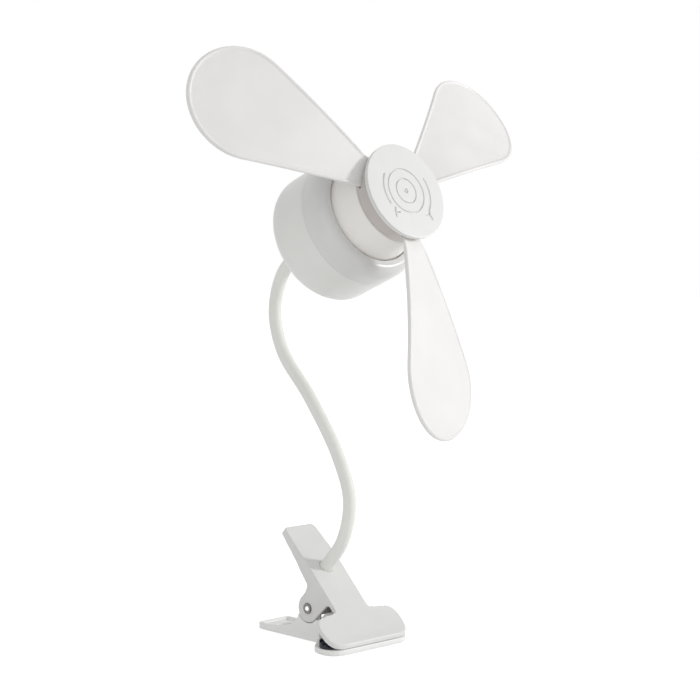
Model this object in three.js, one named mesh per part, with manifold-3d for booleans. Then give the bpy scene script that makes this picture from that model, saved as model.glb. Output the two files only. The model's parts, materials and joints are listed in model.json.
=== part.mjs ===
// A clip fan: three soft blades on a cordless motor head, a bendable gooseneck and a sprung clip.
// Millimetres. +Z is up, the fan blows towards -Y, and X = 0 is the plane that the neck bends in.
// The origin lies on the clip's flat underside, below the middle of the lower jaw.
import * as THREE from "three";
import { mergeVertices } from "three/addons/utils/BufferGeometryUtils.js";
import Module from "manifold-3d";

// ---------------------------------------------------------------- driving dimensions
const CLEARANCE = 0.3; // between pieces that seat on each other or run past each other
const SKIN = 2.4; // wall of the clip mouldings' side walls

// clip, seen from the side: y runs from the lips to the tail
const LIP_Y = -13.8; // front edge of both jaws
const TAIL_Y = 68.5; // end of the lower jaw's tail
const PIN_Y = 27; // hinge pin
const PIN_Z = 18.1;
const CLIP_HALF_WIDTH = 12.2; // over the hinge ears
const JAW_HALF_WIDTH = 28; // over the wide jaw heads
const JAW_THICKNESS = 3;
const SHEET_THICKNESS = 2.6; // the upper jaw's sloping sheet
const LEVER_END_Y = 45.2; // where the thumb lever ends
const LEVER_HALF_WIDTH = 11.2;
const LIP_THICKNESS = 2.9;
const EAR_RADIUS = 8; // round end of the upper ears, about the pin
const LUG_RADIUS = 7; // round end of the lower jaw's inner lugs
const LUG_THICKNESS = 2.2;
const TAIL_THICKNESS = 3.7;
const TAIL_FLOOR = 2;
const TAIL_SLOT_WIDTH = 11;
const TAIL_SLOT_LENGTH = 22;
const PAD_THICKNESS = 1.4;
const PAD_RIBS = 6;
const PIN_RADIUS = 2.4;
const PIN_BORE = 1.5;
const PIN_FLANGE = 3.1;
const PIN_FLANGE_THICKNESS = 0.6;
const SPRING_WIRE = 0.55; // wire radius
const SPRING_RADIUS = 4.4; // from the pin's axis to the middle of the wire
const SPRING_TURNS = 4;
const SPRING_PITCH = 1.7;

// gooseneck
const NECK_RADIUS = 3.75;
const NECK_Y = 24.6; // where its middle meets the upper jaw's sheet
const NECK_BORE = 2.8;
const NECK_CORE = 2.1;
const NECK_SEAT_DEPTH = 4.2; // how far the sleeve reaches into the upper jaw's socket
const SOCKET_WALL = 2.2;

// fan head, along its own axis from the back face: w runs forwards
const FAN_TILT = 22.5; // degrees above level
const HEAD_Y = 29.4; // middle of the head's back face
const HEAD_Z = 223.6;
const HEAD_ROOM = 1.7; // between the ends of the battery cell and the shell
const HEAD_WALL = 1.8;
const HEAD_FILLET = 9;
const SEAM_W = 30; // joint between the rear shell and the front bezel
const BEZEL_W = 45; // front rim of the bezel
const BEZEL_FILLET = 3;
const BEZEL_RIM = 7.8; // width of the flat ring round the motor turret
const TURRET_TAPER = 3.2;
const TURRET_FOOT_W = 44;
const TURRET_TOP_W = 61.4;
const TURRET_WALL = 2;
const MOTOR_RADIUS = 14;
const MOTOR_LENGTH = 22;
const SHAFT_RADIUS = 1.5;
const CELL_RADIUS = 9.1;
const CELL_LENGTH = 65;
const BUTTON_RADIUS = 4.8;
const BUTTON_INSET = 17; // from the head's side to the middle of the button
const BUTTON_TRAVEL = 0.5;
const PORT_INSET = 16; // from the head's side to the middle of the charging port
const PORT_WIDTH = 8.9;
const PORT_HEIGHT = 3.2;
const SCREW_RADIUS = 1.3;
const SCREW_INSET = 13; // from the head's side to the case screws

// rotor
const HUB_GAP = 0.9; // between the turret and the turning hub drum
const HUB_DEPTH = 8;
const HUB_OVERHANG = 0.6; // of the drum beyond the turret's top
const CAP_OVERHANG = 1.4; // of the cap beyond the drum
const CAP_THICKNESS = 2.4;
const BLADE_REACH = 132.5; // tip circle radius
const BLADE_TIP_HALF_WIDTH = 30.1;
const BLADE_TIP_LENGTH = 31.2; // from the widest place to the tip
const BLADE_ROOT_HALF_WIDTH = 5.2;
const BLADE_TONGUE = 9.6; // length of a blade's root inside the drum
const BLADE_ROOT_PITCH = -16.7; // degrees
const BLADE_TIP_PITCH = -9.6;
const BLADE_DROOP = 13.5; // how far the soft tips lie behind the roots
const BLADE_THICKNESS = 1.3;
const BLADE_BEAD = 2.1; // thickness of the raised edge bead
const BLADES = 3;
const FIRST_BLADE_ANGLE = 148;

// sizes that follow from those above
const SHEET_RISE = 16.4; // height of the upper jaw's 45 degree sheet above y = 0
const BEND_Y = 3.3; // where the sheet starts to curve down to the lip
const SHEET_DROP = SHEET_THICKNESS * Math.SQRT2;
const EAR_INSIDE = CLIP_HALF_WIDTH - 2;
const LUG_OUTSIDE = EAR_INSIDE - CLEARANCE;
const LUG_INSIDE = LUG_OUTSIDE - LUG_THICKNESS;
const PIN_HOLE = PIN_RADIUS + CLEARANCE;
const JAW_GAP = JAW_THICKNESS + CLEARANCE; // underside of the closed upper lip
const LIP_TOP = JAW_GAP + LIP_THICKNESS;
const HEAD_RADIUS = CELL_LENGTH / 2 + HEAD_ROOM + HEAD_WALL;
const SHELL_BORE = HEAD_RADIUS - HEAD_WALL;
const TURRET_RADIUS = HEAD_RADIUS - BEZEL_RIM; // foot of the motor turret
const TURRET_TOP_RADIUS = TURRET_RADIUS - TURRET_TAPER;
const BUTTON_U = HEAD_RADIUS - BUTTON_INSET; // height above the head's axis, on the back face
const PORT_U = PORT_INSET - HEAD_RADIUS;
const SCREW_CIRCLE = HEAD_RADIUS - SCREW_INSET;
const HUB_RADIUS = TURRET_TOP_RADIUS + HUB_OVERHANG;
const CAP_RADIUS = HUB_RADIUS + CAP_OVERHANG;
const DRUM_WALL = 2;
const DRUM_BORE = HUB_RADIUS - DRUM_WALL;
const BLADE_ROOT_R = DRUM_BORE - BLADE_TONGUE;
const HUB_W = TURRET_TOP_W + HUB_GAP; // back of the hub drum
const DRUM_FLOOR = 1.3;
const DRUM_TOP = HUB_W + HUB_DEPTH;
const CAP_BACK = DRUM_TOP + CLEARANCE;
const CAP_W = CAP_BACK + CAP_THICKNESS; // front face of the hub cap
const BLADE_W = (HUB_W + DRUM_FLOOR + DRUM_TOP) / 2; // the blades' roots lie midway in the drum
const rad = THREE.MathUtils.degToRad;

// ---------------------------------------------------------------- materials
function plastic(colour, roughness) {
  return new THREE.MeshStandardMaterial({ color: colour, roughness, metalness: 0 });
}
function metal(colour, roughness) {
  return new THREE.MeshStandardMaterial({ color: colour, roughness, metalness: 1 });
}
const WHITE_SATIN = plastic(0xe6e6e4, 0.4);
const HUB_GREY = plastic(0xb9b6af, 0.38);
const SILICONE = plastic(0xd6d6d2, 0.62);
const BLADE_SOFT = plastic(0xe9e8e5, 0.55);
const PAD_RUBBER = plastic(0x15191f, 0.85);
const STEEL = metal(0x8f8d89, 0.35);
const BRASS = metal(0xb59a5b, 0.35);
const CELL_SLEEVE = plastic(0x3c6e8f, 0.45);
const BOARD_GREEN = plastic(0x1f5a3a, 0.5);
const FERRITE = plastic(0x2a2a2c, 0.7);
const DARK_PLASTIC = plastic(0x1c1c1e, 0.5);
const LENS = plastic(0xdfe6e8, 0.25);

// ---------------------------------------------------------------- solids
const wasm = await Module();
wasm.setup();

// A closed geometry as a solid that can be joined and cut.
function solid(geometry) {
  const bare = geometry.index ? geometry.toNonIndexed() : geometry.clone();
  bare.deleteAttribute("normal");
  bare.deleteAttribute("uv");
  const merged = mergeVertices(bare, 1e-4);
  const corners = [];
  for (let i = 0; i < merged.index.count; i += 3) {
    const [a, b, c] = [0, 1, 2].map((k) => merged.index.getX(i + k));
    if (a !== b && b !== c && c !== a) corners.push(a, b, c);
  }
  const vertProperties = merged.attributes.position.array;
  const make = (triVerts) => new wasm.Manifold(new wasm.Mesh({ numProp: 3, vertProperties, triVerts }));
  const made = make(new Uint32Array(corners));
  return made.volume() > 0 ? made : make(new Uint32Array(corners.reverse()));
}
const join = (first, ...others) => others.reduce((whole, piece) => whole.add(piece), first);
const cut = (first, ...others) => others.reduce((rest, piece) => rest.subtract(piece), first);

// A solid as a flat-shaded geometry.
function geometryOf(body) {
  const { vertProperties, triVerts } = body.getMesh();
  const shared = new THREE.BufferGeometry();
  shared.setAttribute("position", new THREE.BufferAttribute(vertProperties, 3));
  shared.setIndex(new THREE.BufferAttribute(triVerts, 1));
  const flat = shared.toNonIndexed();
  flat.computeVertexNormals();
  return flat;
}
function part(name, body, material) {
  const mesh = new THREE.Mesh(geometryOf(body), material);
  mesh.name = name;
  return mesh;
}

const at = (x, y, z) => new THREE.Vector3(x, y, z);
const sideView = new THREE.Matrix4().makeBasis(at(0, 1, 0), at(0, 0, 1), at(1, 0, 0));

function block(low, high) {
  const size = high.clone().sub(low);
  const middle = low.clone().add(high).multiplyScalar(0.5);
  return solid(new THREE.BoxGeometry(size.x, size.y, size.z).translate(middle.x, middle.y, middle.z));
}
function rod(radius, start, end, sides = 24) {
  const along = end.clone().sub(start);
  const geometry = new THREE.CylinderGeometry(radius, radius, along.length(), sides);
  const turn = new THREE.Quaternion().setFromUnitVectors(at(0, 1, 0), along.clone().normalize());
  const middle = start.clone().add(end).multiplyScalar(0.5);
  return solid(geometry.applyQuaternion(turn).translate(middle.x, middle.y, middle.z));
}
const rodX = (radius, x0, x1, y, z, sides) => rod(radius, at(x0, y, z), at(x1, y, z), sides);
const rodW = (radius, x, u, w0, w1, sides) => rod(radius, at(x, u, w0), at(x, u, w1), sides);
// A revolve about the third axis, from [radius, height] corners.
function revolve(profile, segments = 28) {
  const points = profile.map(([r, w]) => new THREE.Vector2(r, w));
  return solid(new THREE.LatheGeometry(points, segments).rotateX(Math.PI / 2));
}
// An outline drawn in the side view (y, z), as thick as x0 to x1.
function slab(shape, x0, x1, curveSegments = 8) {
  const options = { depth: x1 - x0, bevelEnabled: false, curveSegments };
  return solid(new THREE.ExtrudeGeometry(shape, options).applyMatrix4(sideView).translate(x0, 0, 0));
}
// An outline drawn in plan, as thick as z0 to z1.
function sheet(shape, z0, z1, curveSegments = 8) {
  const options = { depth: z1 - z0, bevelEnabled: false, curveSegments };
  return solid(new THREE.ExtrudeGeometry(shape, options).translate(0, 0, z0));
}
// A fillet: the corners of an arc about (r, w), between two angles in degrees.
function arc(r, w, radius, from, to, steps = 6) {
  const corners = [];
  for (let i = 0; i <= steps; i += 1) {
    const angle = rad(from + ((to - from) * i) / steps);
    corners.push([r + radius * Math.cos(angle), w + radius * Math.sin(angle)]);
  }
  return corners;
}
// The whole outline of a half drawn from the middle of the front to the middle of the back.
function mirrored(half, divisions = 6) {
  const right = half.getPoints(divisions);
  const left = right.slice(1, -1).reverse().map((p) => new THREE.Vector2(-p.x, p.y));
  return new THREE.Shape([...right, ...left]);
}
// A rounded slot in plan, centred on (x, y).
function slotOutline(x, y, width, height) {
  const r = Math.min(width, height) / 2;
  const shape = new THREE.Shape();
  if (width > height) {
    shape.absarc(x + width / 2 - r, y, r, -Math.PI / 2, Math.PI / 2, false);
    shape.absarc(x - width / 2 + r, y, r, Math.PI / 2, Math.PI * 1.5, false);
  } else {
    shape.absarc(x, y + height / 2 - r, r, 0, Math.PI, false);
    shape.absarc(x, y - height / 2 + r, r, Math.PI, Math.PI * 2, false);
  }
  return shape;
}

// ---------------------------------------------------------------- clip
const FRONT_CORNER = 10; // how far the jaw heads' front corners are drawn in
const LOWER_SHOULDER_Y = 17.4; // where the lower jaw's walls begin
const UPPER_SHOULDER_Y = 3;

function frontOfJaw(halfWidth) {
  const half = new THREE.Path();
  half.moveTo(0, LIP_Y);
  half.lineTo(halfWidth - FRONT_CORNER, LIP_Y);
  half.quadraticCurveTo(halfWidth, LIP_Y, halfWidth, LIP_Y + FRONT_CORNER);
  return half;
}
function lowerJawPlan() {
  const half = frontOfJaw(JAW_HALF_WIDTH);
  half.quadraticCurveTo(JAW_HALF_WIDTH, 3, JAW_HALF_WIDTH - 5, 7.5);
  half.quadraticCurveTo(CLIP_HALF_WIDTH + 4, 14, CLIP_HALF_WIDTH, LOWER_SHOULDER_Y + 3);
  half.lineTo(CLIP_HALF_WIDTH, TAIL_Y - 4);
  half.quadraticCurveTo(CLIP_HALF_WIDTH, TAIL_Y, CLIP_HALF_WIDTH - 4, TAIL_Y);
  half.lineTo(0, TAIL_Y);
  return mirrored(half);
}
function upperJawPlan() {
  const half = frontOfJaw(JAW_HALF_WIDTH - CLEARANCE);
  const widest = JAW_HALF_WIDTH - CLEARANCE;
  half.quadraticCurveTo(widest, UPPER_SHOULDER_Y - 1, widest - 7.5, UPPER_SHOULDER_Y - 0.5);
  half.lineTo(CLIP_HALF_WIDTH + 2.5, UPPER_SHOULDER_Y);
  half.quadraticCurveTo(CLIP_HALF_WIDTH, UPPER_SHOULDER_Y, CLIP_HALF_WIDTH, UPPER_SHOULDER_Y + 2.5);
  half.lineTo(CLIP_HALF_WIDTH, PIN_Y + EAR_RADIUS);
  half.lineTo(LEVER_HALF_WIDTH, LEVER_END_Y + 1.5);
  half.quadraticCurveTo(LEVER_HALF_WIDTH, LEVER_END_Y + 4, LEVER_HALF_WIDTH - 3, LEVER_END_Y + 4);
  half.lineTo(0, LEVER_END_Y + 4);
  return mirrored(half);
}

// The lower jaw's side: hinge end, then the tail that the fingers press.
function lowerJawSide() {
  const side = new THREE.Shape();
  side.moveTo(LOWER_SHOULDER_Y, 0);
  side.lineTo(LOWER_SHOULDER_Y, PIN_Z - 5);
  side.lineTo(PIN_Y - 4, PIN_Z - 6);
  side.lineTo(PIN_Y + EAR_RADIUS - 0.4, PIN_Z - 2.8);
  side.quadraticCurveTo(PIN_Y + EAR_RADIUS + 1, 9, PIN_Y + 15, 6.6);
  side.quadraticCurveTo(PIN_Y + 25, TAIL_THICKNESS, TAIL_Y - 8, TAIL_THICKNESS);
  side.lineTo(TAIL_Y, TAIL_THICKNESS);
  side.lineTo(TAIL_Y, 0);
  side.closePath();
  return side;
}
function lugOutline() {
  const lug = new THREE.Shape();
  lug.moveTo(PIN_Y - LUG_RADIUS, 1);
  lug.lineTo(PIN_Y + LUG_RADIUS, 1);
  lug.lineTo(PIN_Y + LUG_RADIUS, PIN_Z);
  lug.absarc(PIN_Y, PIN_Z, LUG_RADIUS, 0, Math.PI, false);
  lug.closePath();
  return lug;
}
function lowerJaw() {
  const plan = sheet(lowerJawPlan(), 0, PIN_Z);
  const head = block(at(-JAW_HALF_WIDTH, LIP_Y, 0), at(JAW_HALF_WIDTH, LOWER_SHOULDER_Y + 0.1, JAW_THICKNESS));
  const body = slab(lowerJawSide(), -CLIP_HALF_WIDTH, CLIP_HALF_WIDTH);
  const inside = CLIP_HALF_WIDTH - SKIN;
  const pocket = block(at(-inside, LOWER_SHOULDER_Y - 1, TAIL_FLOOR), at(inside, TAIL_Y - SKIN, PIN_Z));
  const head_and_body = plan.intersect(join(head, body.subtract(pocket)));
  const slotMiddle = TAIL_Y - SKIN - 4 - TAIL_SLOT_LENGTH / 2;
  const slot = sheet(slotOutline(0, slotMiddle, TAIL_SLOT_WIDTH, TAIL_SLOT_LENGTH), -1, TAIL_FLOOR + 1);
  const sides = [-1, 1];
  const recesses = sides.map((s) =>
    rodX(EAR_RADIUS + 0.4, s * LUG_OUTSIDE, s * (CLIP_HALF_WIDTH + 1), PIN_Y, PIN_Z, 28),
  );
  const lugs = sides.map((s) =>
    slab(lugOutline(), Math.min(s * LUG_INSIDE, s * LUG_OUTSIDE), Math.max(s * LUG_INSIDE, s * LUG_OUTSIDE)),
  );
  const pinHole = rodX(PIN_HOLE, -CLIP_HALF_WIDTH, CLIP_HALF_WIDTH, PIN_Y, PIN_Z);
  return cut(join(cut(head_and_body, slot, ...recesses), ...lugs), pinHole);
}

// The upper jaw's sheet in side view: straight at 45 degrees, then curving down to the lip.
function sheetSide() {
  const side = new THREE.Shape();
  const soften = 0.8;
  side.moveTo(LEVER_END_Y, LEVER_END_Y + SHEET_RISE);
  side.lineTo(BEND_Y, BEND_Y + SHEET_RISE);
  side.quadraticCurveTo(-6, SHEET_RISE - 6, LIP_Y + soften, LIP_TOP + soften / 2);
  side.quadraticCurveTo(LIP_Y, LIP_TOP, LIP_Y, LIP_TOP - soften);
  side.lineTo(LIP_Y, JAW_GAP);
  side.quadraticCurveTo(-5.2, SHEET_RISE - 5.6 - SHEET_DROP, BEND_Y, BEND_Y + SHEET_RISE - SHEET_DROP);
  const back = LEVER_END_Y + SHEET_THICKNESS / Math.SQRT2;
  side.lineTo(back, back + SHEET_RISE - SHEET_DROP);
  side.closePath();
  return side;
}
// One ear in side view: the lever's skirt, the waist, the round hinge end, the notch and its tooth.
const LEVER_DEPTH = 5.1; // of the lever's end, square to the sheet
function earSide() {
  const ear = new THREE.Shape();
  const sunk = SHEET_DROP / 2;
  const endY = LEVER_END_Y + LEVER_DEPTH / Math.SQRT2;
  const endZ = LEVER_END_Y + SHEET_RISE - LEVER_DEPTH / Math.SQRT2;
  ear.moveTo(LEVER_END_Y + 0.8, LEVER_END_Y + 0.8 + SHEET_RISE - sunk);
  ear.lineTo(endY - 0.3, endZ);
  ear.lineTo(PIN_Y + 0.8, PIN_Z + 13.4);
  ear.quadraticCurveTo(PIN_Y + 1, PIN_Z + 9.6, PIN_Y + EAR_RADIUS * Math.cos(rad(50)), PIN_Z + EAR_RADIUS * Math.sin(rad(50)));
  ear.absarc(PIN_Y, PIN_Z, EAR_RADIUS, rad(50), rad(-131), true);
  ear.lineTo(PIN_Y - 14, PIN_Z + 2);
  ear.quadraticCurveTo(PIN_Y - 15.8, PIN_Z + 4.4, PIN_Y - 18, PIN_Z + 3.2);
  ear.quadraticCurveTo(PIN_Y - 20.5, PIN_Z + 0.4, PIN_Y - 22.4, PIN_Z + 0.2);
  ear.lineTo(BEND_Y, BEND_Y + SHEET_RISE - sunk);
  ear.closePath();
  return ear;
}
// The closing wall at the end of the thumb lever.
function leverEnd() {
  const end = new THREE.Shape();
  const depth = (LEVER_DEPTH - 0.3) / Math.SQRT2;
  const top = LEVER_END_Y + SHEET_RISE;
  end.moveTo(LEVER_END_Y, top);
  end.lineTo(LEVER_END_Y + depth, top - depth);
  end.lineTo(LEVER_END_Y + depth - 1.5, top - depth - 1.5);
  end.lineTo(LEVER_END_Y - 1.5, top - 1.5);
  end.closePath();
  return end;
}
const NECK_ENTRY = at(0, NECK_Y, NECK_Y + SHEET_RISE); // on the sheet's upper face
const INTO_CLIP = at(0, Math.SQRT1_2, -Math.SQRT1_2);
const alongNeckEntry = (depth) => NECK_ENTRY.clone().addScaledVector(INTO_CLIP, depth);

function upperJaw() {
  const plan = sheet(upperJawPlan(), -1, LEVER_END_Y + SHEET_RISE + 1);
  const wide = slab(sheetSide(), -JAW_HALF_WIDTH, JAW_HALF_WIDTH, 7);
  const ears = [-1, 1].map((s) => {
    const [x0, x1] = [s * EAR_INSIDE, s * CLIP_HALF_WIDTH].sort((a, b) => a - b);
    return slab(earSide(), x0, x1, 6);
  });
  const end = slab(leverEnd(), -CLIP_HALF_WIDTH, CLIP_HALF_WIDTH);
  const bore = NECK_RADIUS + CLEARANCE;
  const socket = rod(bore + SOCKET_WALL, alongNeckEntry(SHEET_THICKNESS / 2), alongNeckEntry(NECK_SEAT_DEPTH), 28);
  const shell = plan.intersect(join(wide, ...ears, end, socket));
  const neckHole = rod(bore, alongNeckEntry(-3), alongNeckEntry(NECK_SEAT_DEPTH + 2), 28);
  const pinHole = rodX(PIN_HOLE, -CLIP_HALF_WIDTH - 1, CLIP_HALF_WIDTH + 1, PIN_Y, PIN_Z);
  return cut(shell, neckHole, pinHole);
}

// Ribbed rubber pads, one on each jaw.
function lowerPad() {
  const side = new THREE.Shape();
  const [front, back] = [LIP_Y + 4, LIP_Y + 22];
  const pitch = (back - front) / PAD_RIBS;
  side.moveTo(back, JAW_THICKNESS);
  side.lineTo(front, JAW_THICKNESS);
  for (let i = 0; i < PAD_RIBS; i += 1) {
    const y = front + i * pitch;
    side.lineTo(y + pitch * 0.1, JAW_THICKNESS + PAD_THICKNESS);
    side.lineTo(y + pitch * 0.6, JAW_THICKNESS + PAD_THICKNESS);
    side.lineTo(y + pitch * 0.75, JAW_THICKNESS + PAD_THICKNESS - 0.5);
    side.lineTo(y + pitch * 0.95, JAW_THICKNESS + PAD_THICKNESS - 0.5);
  }
  side.closePath();
  const plan = new THREE.Path();
  plan.moveTo(0, front);
  plan.lineTo(JAW_HALF_WIDTH - 11, front);
  plan.quadraticCurveTo(JAW_HALF_WIDTH - 2.5, front, JAW_HALF_WIDTH - 2.5, front + 6);
  plan.quadraticCurveTo(JAW_HALF_WIDTH - 2.5, back - 9, JAW_HALF_WIDTH - 8, back - 6);
  plan.lineTo(CLIP_HALF_WIDTH + 1, back);
  plan.lineTo(0, back);
  return slab(side, -JAW_HALF_WIDTH, JAW_HALF_WIDTH).intersect(sheet(mirrored(plan), 0, 8));
}
function upperPad() {
  const side = new THREE.Shape();
  const top = SHEET_RISE - SHEET_DROP - CLEARANCE * Math.SQRT2;
  const drop = PAD_THICKNESS * Math.SQRT2;
  side.moveTo(BEND_Y + 4, BEND_Y + 4 + top);
  side.quadraticCurveTo(-2.6, top - 2.6, -8.2, top - 6.6);
  side.lineTo(-8.2, top - 6.6 - PAD_THICKNESS * 0.7);
  side.quadraticCurveTo(-1.4, top - 3 - drop, BEND_Y + 4, BEND_Y + 4 + top - drop);
  side.closePath();
  const half = CLIP_HALF_WIDTH - SKIN - CLEARANCE;
  return slab(side, -half, half, 6);
}

// The hollow rivet that the jaws turn on.
function hingePin() {
  const inner = CLIP_HALF_WIDTH + CLEARANCE;
  const outer = inner + PIN_FLANGE_THICKNESS;
  const half = [
    [PIN_RADIUS, inner],
    [PIN_FLANGE, inner],
    [PIN_FLANGE, outer - 0.2],
    [PIN_FLANGE - 0.25, outer],
    [PIN_BORE + 0.25, outer],
    [PIN_BORE, outer - 0.3],
  ];
  const otherHalf = half.map(([r, w]) => [r, -w]).reverse();
  const profile = [...half, ...otherHalf, half[0]];
  const points = profile.map(([r, w]) => new THREE.Vector2(r, w));
  const turned = new THREE.LatheGeometry(points, 14).rotateZ(-Math.PI / 2);
  return solid(turned.translate(0, PIN_Y, PIN_Z));
}

// The torsion spring: a straight leg, a coil about the pin, and a second straight leg.
const SPRING_STEPS_PER_TURN = 8;
function springCurve() {
  const downLeg = 18.2;
  const upLeg = 30.2;
  const first = rad(22);
  const last = rad(360 * SPRING_TURNS - 8.4);
  const coil = (last - first) * SPRING_RADIUS;
  const rise = SPRING_PITCH / (2 * Math.PI * SPRING_RADIUS);
  const onCoil = (angle) => at((angle - (first + last) / 2) * SPRING_RADIUS * rise,
    PIN_Y + SPRING_RADIUS * Math.cos(angle), PIN_Z + SPRING_RADIUS * Math.sin(angle));
  const tangent = (angle) => at(0, -Math.sin(angle), Math.cos(angle));
  const curve = new THREE.Curve();
  curve.getPoint = (t) => {
    const run = t * (downLeg + coil + upLeg) - downLeg;
    if (run < 0) return onCoil(first).addScaledVector(tangent(first), run);
    if (run > coil) return onCoil(last).addScaledVector(tangent(last), run - coil);
    return onCoil(first + run / SPRING_RADIUS);
  };
  return curve;
}
function torsionSpring() {
  const curve = springCurve();
  const turn = 2 * Math.PI * SPRING_RADIUS;
  const steps = Math.round((curve.getLength() / turn) * SPRING_STEPS_PER_TURN);
  const places = curve.getSpacedPoints(steps * 12);
  const apart = Math.round((turn / curve.getLength()) * steps * 12 * 0.6);
  let least = Infinity;
  places.forEach((p, i) => places.slice(i + apart).forEach((q) => { least = Math.min(least, p.distanceTo(q)); }));
  console.log("least gap between the spring's turns, mm:", (least - 2 * SPRING_WIRE).toFixed(2));
  return sweep(curve, SPRING_WIRE, 5, steps);
}

// ---------------------------------------------------------------- gooseneck
const HEAD_AXIS = at(0, -Math.cos(rad(FAN_TILT)), Math.sin(rad(FAN_TILT)));
const alongHead = (w) => at(0, HEAD_Y, HEAD_Z).addScaledVector(HEAD_AXIS, w);
const ENTRY_LEAD = 10; // length of neck line drawn on into the clip and into the head
const NECK_POINTS = [
  alongNeckEntry(ENTRY_LEAD),
  NECK_ENTRY,
  at(0, NECK_ENTRY.y - 13.7, NECK_ENTRY.z + 16.6),
  at(0, NECK_ENTRY.y - 18.9, NECK_ENTRY.z + 39.7), // first bend
  at(0, 15, 104.5),
  at(0, 38.1, 135.7), // second bend
  at(0, HEAD_Y + 32.1, HEAD_Z - 62.1),
  at(0, HEAD_Y + 38.5, HEAD_Z - 39.3), // third bend
  at(0, HEAD_Y + 31.1, HEAD_Z - 17.6),
  at(0, HEAD_Y + 17.1, HEAD_Z - 6.6),
  alongHead(0),
  alongHead(ENTRY_LEAD),
];
const BENDS = [3, 5, 7]; // where the neck bends, as places in the list above
const NECK_SIDES = 10;
const CORE_SIDES = 6;
const NECK_STEP = 10;
const CUP_GAP = 0.4; // between a sleeve's ball and the next sleeve's cup
const CUP_START = 2.2; // from a bend's centre to the rim of the next sleeve
const CORE_START = 4.6; // from a bend's centre to the end of the steel core
const NECK_PATH = new THREE.CatmullRomCurve3(NECK_POINTS, false, "centripetal");

// A tube or rod of one radius along a curve.
function sweep(curve, radius, sides, steps) {
  const ring = Array.from({ length: sides }, (_, i) => (2 * Math.PI * i) / sides);
  const shape = new THREE.Shape(ring.map((a) => new THREE.Vector2(radius * Math.cos(a), radius * Math.sin(a))));
  return solid(new THREE.ExtrudeGeometry(shape, { steps, extrudePath: curve, bevelEnabled: false }));
}
// A run of the neck line between two places: list number, plus millimetres towards the next point.
function place(index, millimetres = 0) {
  const next = index + (millimetres < 0 ? -1 : 1);
  return index + (next - index) * Math.abs(millimetres) / NECK_POINTS[index].distanceTo(NECK_POINTS[next]);
}
function neckRun(from, to, radius, sides) {
  const curve = new THREE.Curve();
  curve.getPoint = (t) => NECK_PATH.getPoint((from + (to - from) * t) / (NECK_POINTS.length - 1));
  return sweep(curve, radius, sides, Math.max(2, Math.round(curve.getLength() / NECK_STEP)));
}
const ball = (index, radius) => solid(new THREE.SphereGeometry(radius, 10, 6).translate(...NECK_POINTS[index]));
const SEAT = place(1, -NECK_SEAT_DEPTH); // end of the sleeve in the clip
const HEAD_END = place(NECK_POINTS.length - 2, 4.7); // end of the sleeve in the head
const ends = [SEAT, ...BENDS, HEAD_END];

function neckSleeve(number) {
  const startsAtBend = number > 0;
  const endsAtBend = number < BENDS.length;
  const from = startsAtBend ? place(ends[number], CUP_START) : ends[number];
  const to = ends[number + 1];
  const boreEnd = endsAtBend ? place(to, -CORE_START + 0.6) : to + 0.05;
  const boreStart = startsAtBend ? place(ends[number], CUP_START - 1) : from - 0.05;
  let sleeve = neckRun(from, to, NECK_RADIUS, NECK_SIDES);
  if (endsAtBend) sleeve = join(sleeve, ball(to, NECK_RADIUS));
  sleeve = cut(sleeve, neckRun(boreStart, boreEnd, NECK_BORE, CORE_SIDES));
  return startsAtBend ? cut(sleeve, ball(ends[number], NECK_RADIUS + CUP_GAP)) : sleeve;
}
function neckCore(number) {
  const from = number > 0 ? place(ends[number], CORE_START) : place(1, -NECK_SEAT_DEPTH - 3.4);
  const to = number < BENDS.length ? place(ends[number + 1], -CORE_START) : place(NECK_POINTS.length - 2, 6.5);
  return neckRun(from, to, NECK_CORE, CORE_SIDES);
}
function neckBaseNut() {
  const start = alongNeckEntry(NECK_SEAT_DEPTH + CLEARANCE);
  const end = alongNeckEntry(NECK_SEAT_DEPTH + 2.8);
  const hole = rod(NECK_CORE + CLEARANCE, alongNeckEntry(0), alongNeckEntry(NECK_SEAT_DEPTH + 5), 16);
  return rod(NECK_CORE + 3, start, end, 6).subtract(hole);
}

// ---------------------------------------------------------------- fan head, in its own frame
const FERRULE_NECK = NECK_RADIUS + 1.25; // radius of the ferrule's threaded neck
const BOSS_TOP = 5.7; // the rear shell's screw bosses
const BOARD_W = 6.2;
const BOARD_THICKNESS = 1.2;
const CELL_W = BOARD_W + BOARD_THICKNESS + 1 + CELL_RADIUS;
const CHASSIS_W = SEAM_W - 2.1;
const CHASSIS_TOP = SEAM_W - 0.3;
const BEZEL_PLATE_W = BEZEL_W - 2.3; // back of the bezel's front ring
const FLANGE_W = BEZEL_PLATE_W - CLEARANCE - 1.2; // back of the turret's flange
const LEDS = 4;
const LED_PITCH = 4;
const LED_U = -13.5;
const SCREW_HOLE = SCREW_RADIUS + CLEARANCE;
const SHAFT_BORE = SHAFT_RADIUS + CLEARANCE;
const screwPlaces = [35, 145, 215, 325].map((a) => [SCREW_CIRCLE * Math.cos(rad(a)), SCREW_CIRCLE * Math.sin(rad(a))]);
const ledPlaces = Array.from({ length: LEDS }, (_, i) => (i - (LEDS - 1) / 2) * LED_PITCH);
const ring = (r0, r1, w0, w1, segments) => revolve([[r0, w0], [r1, w0], [r1, w1], [r0, w1], [r0, w0]], segments);

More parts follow.
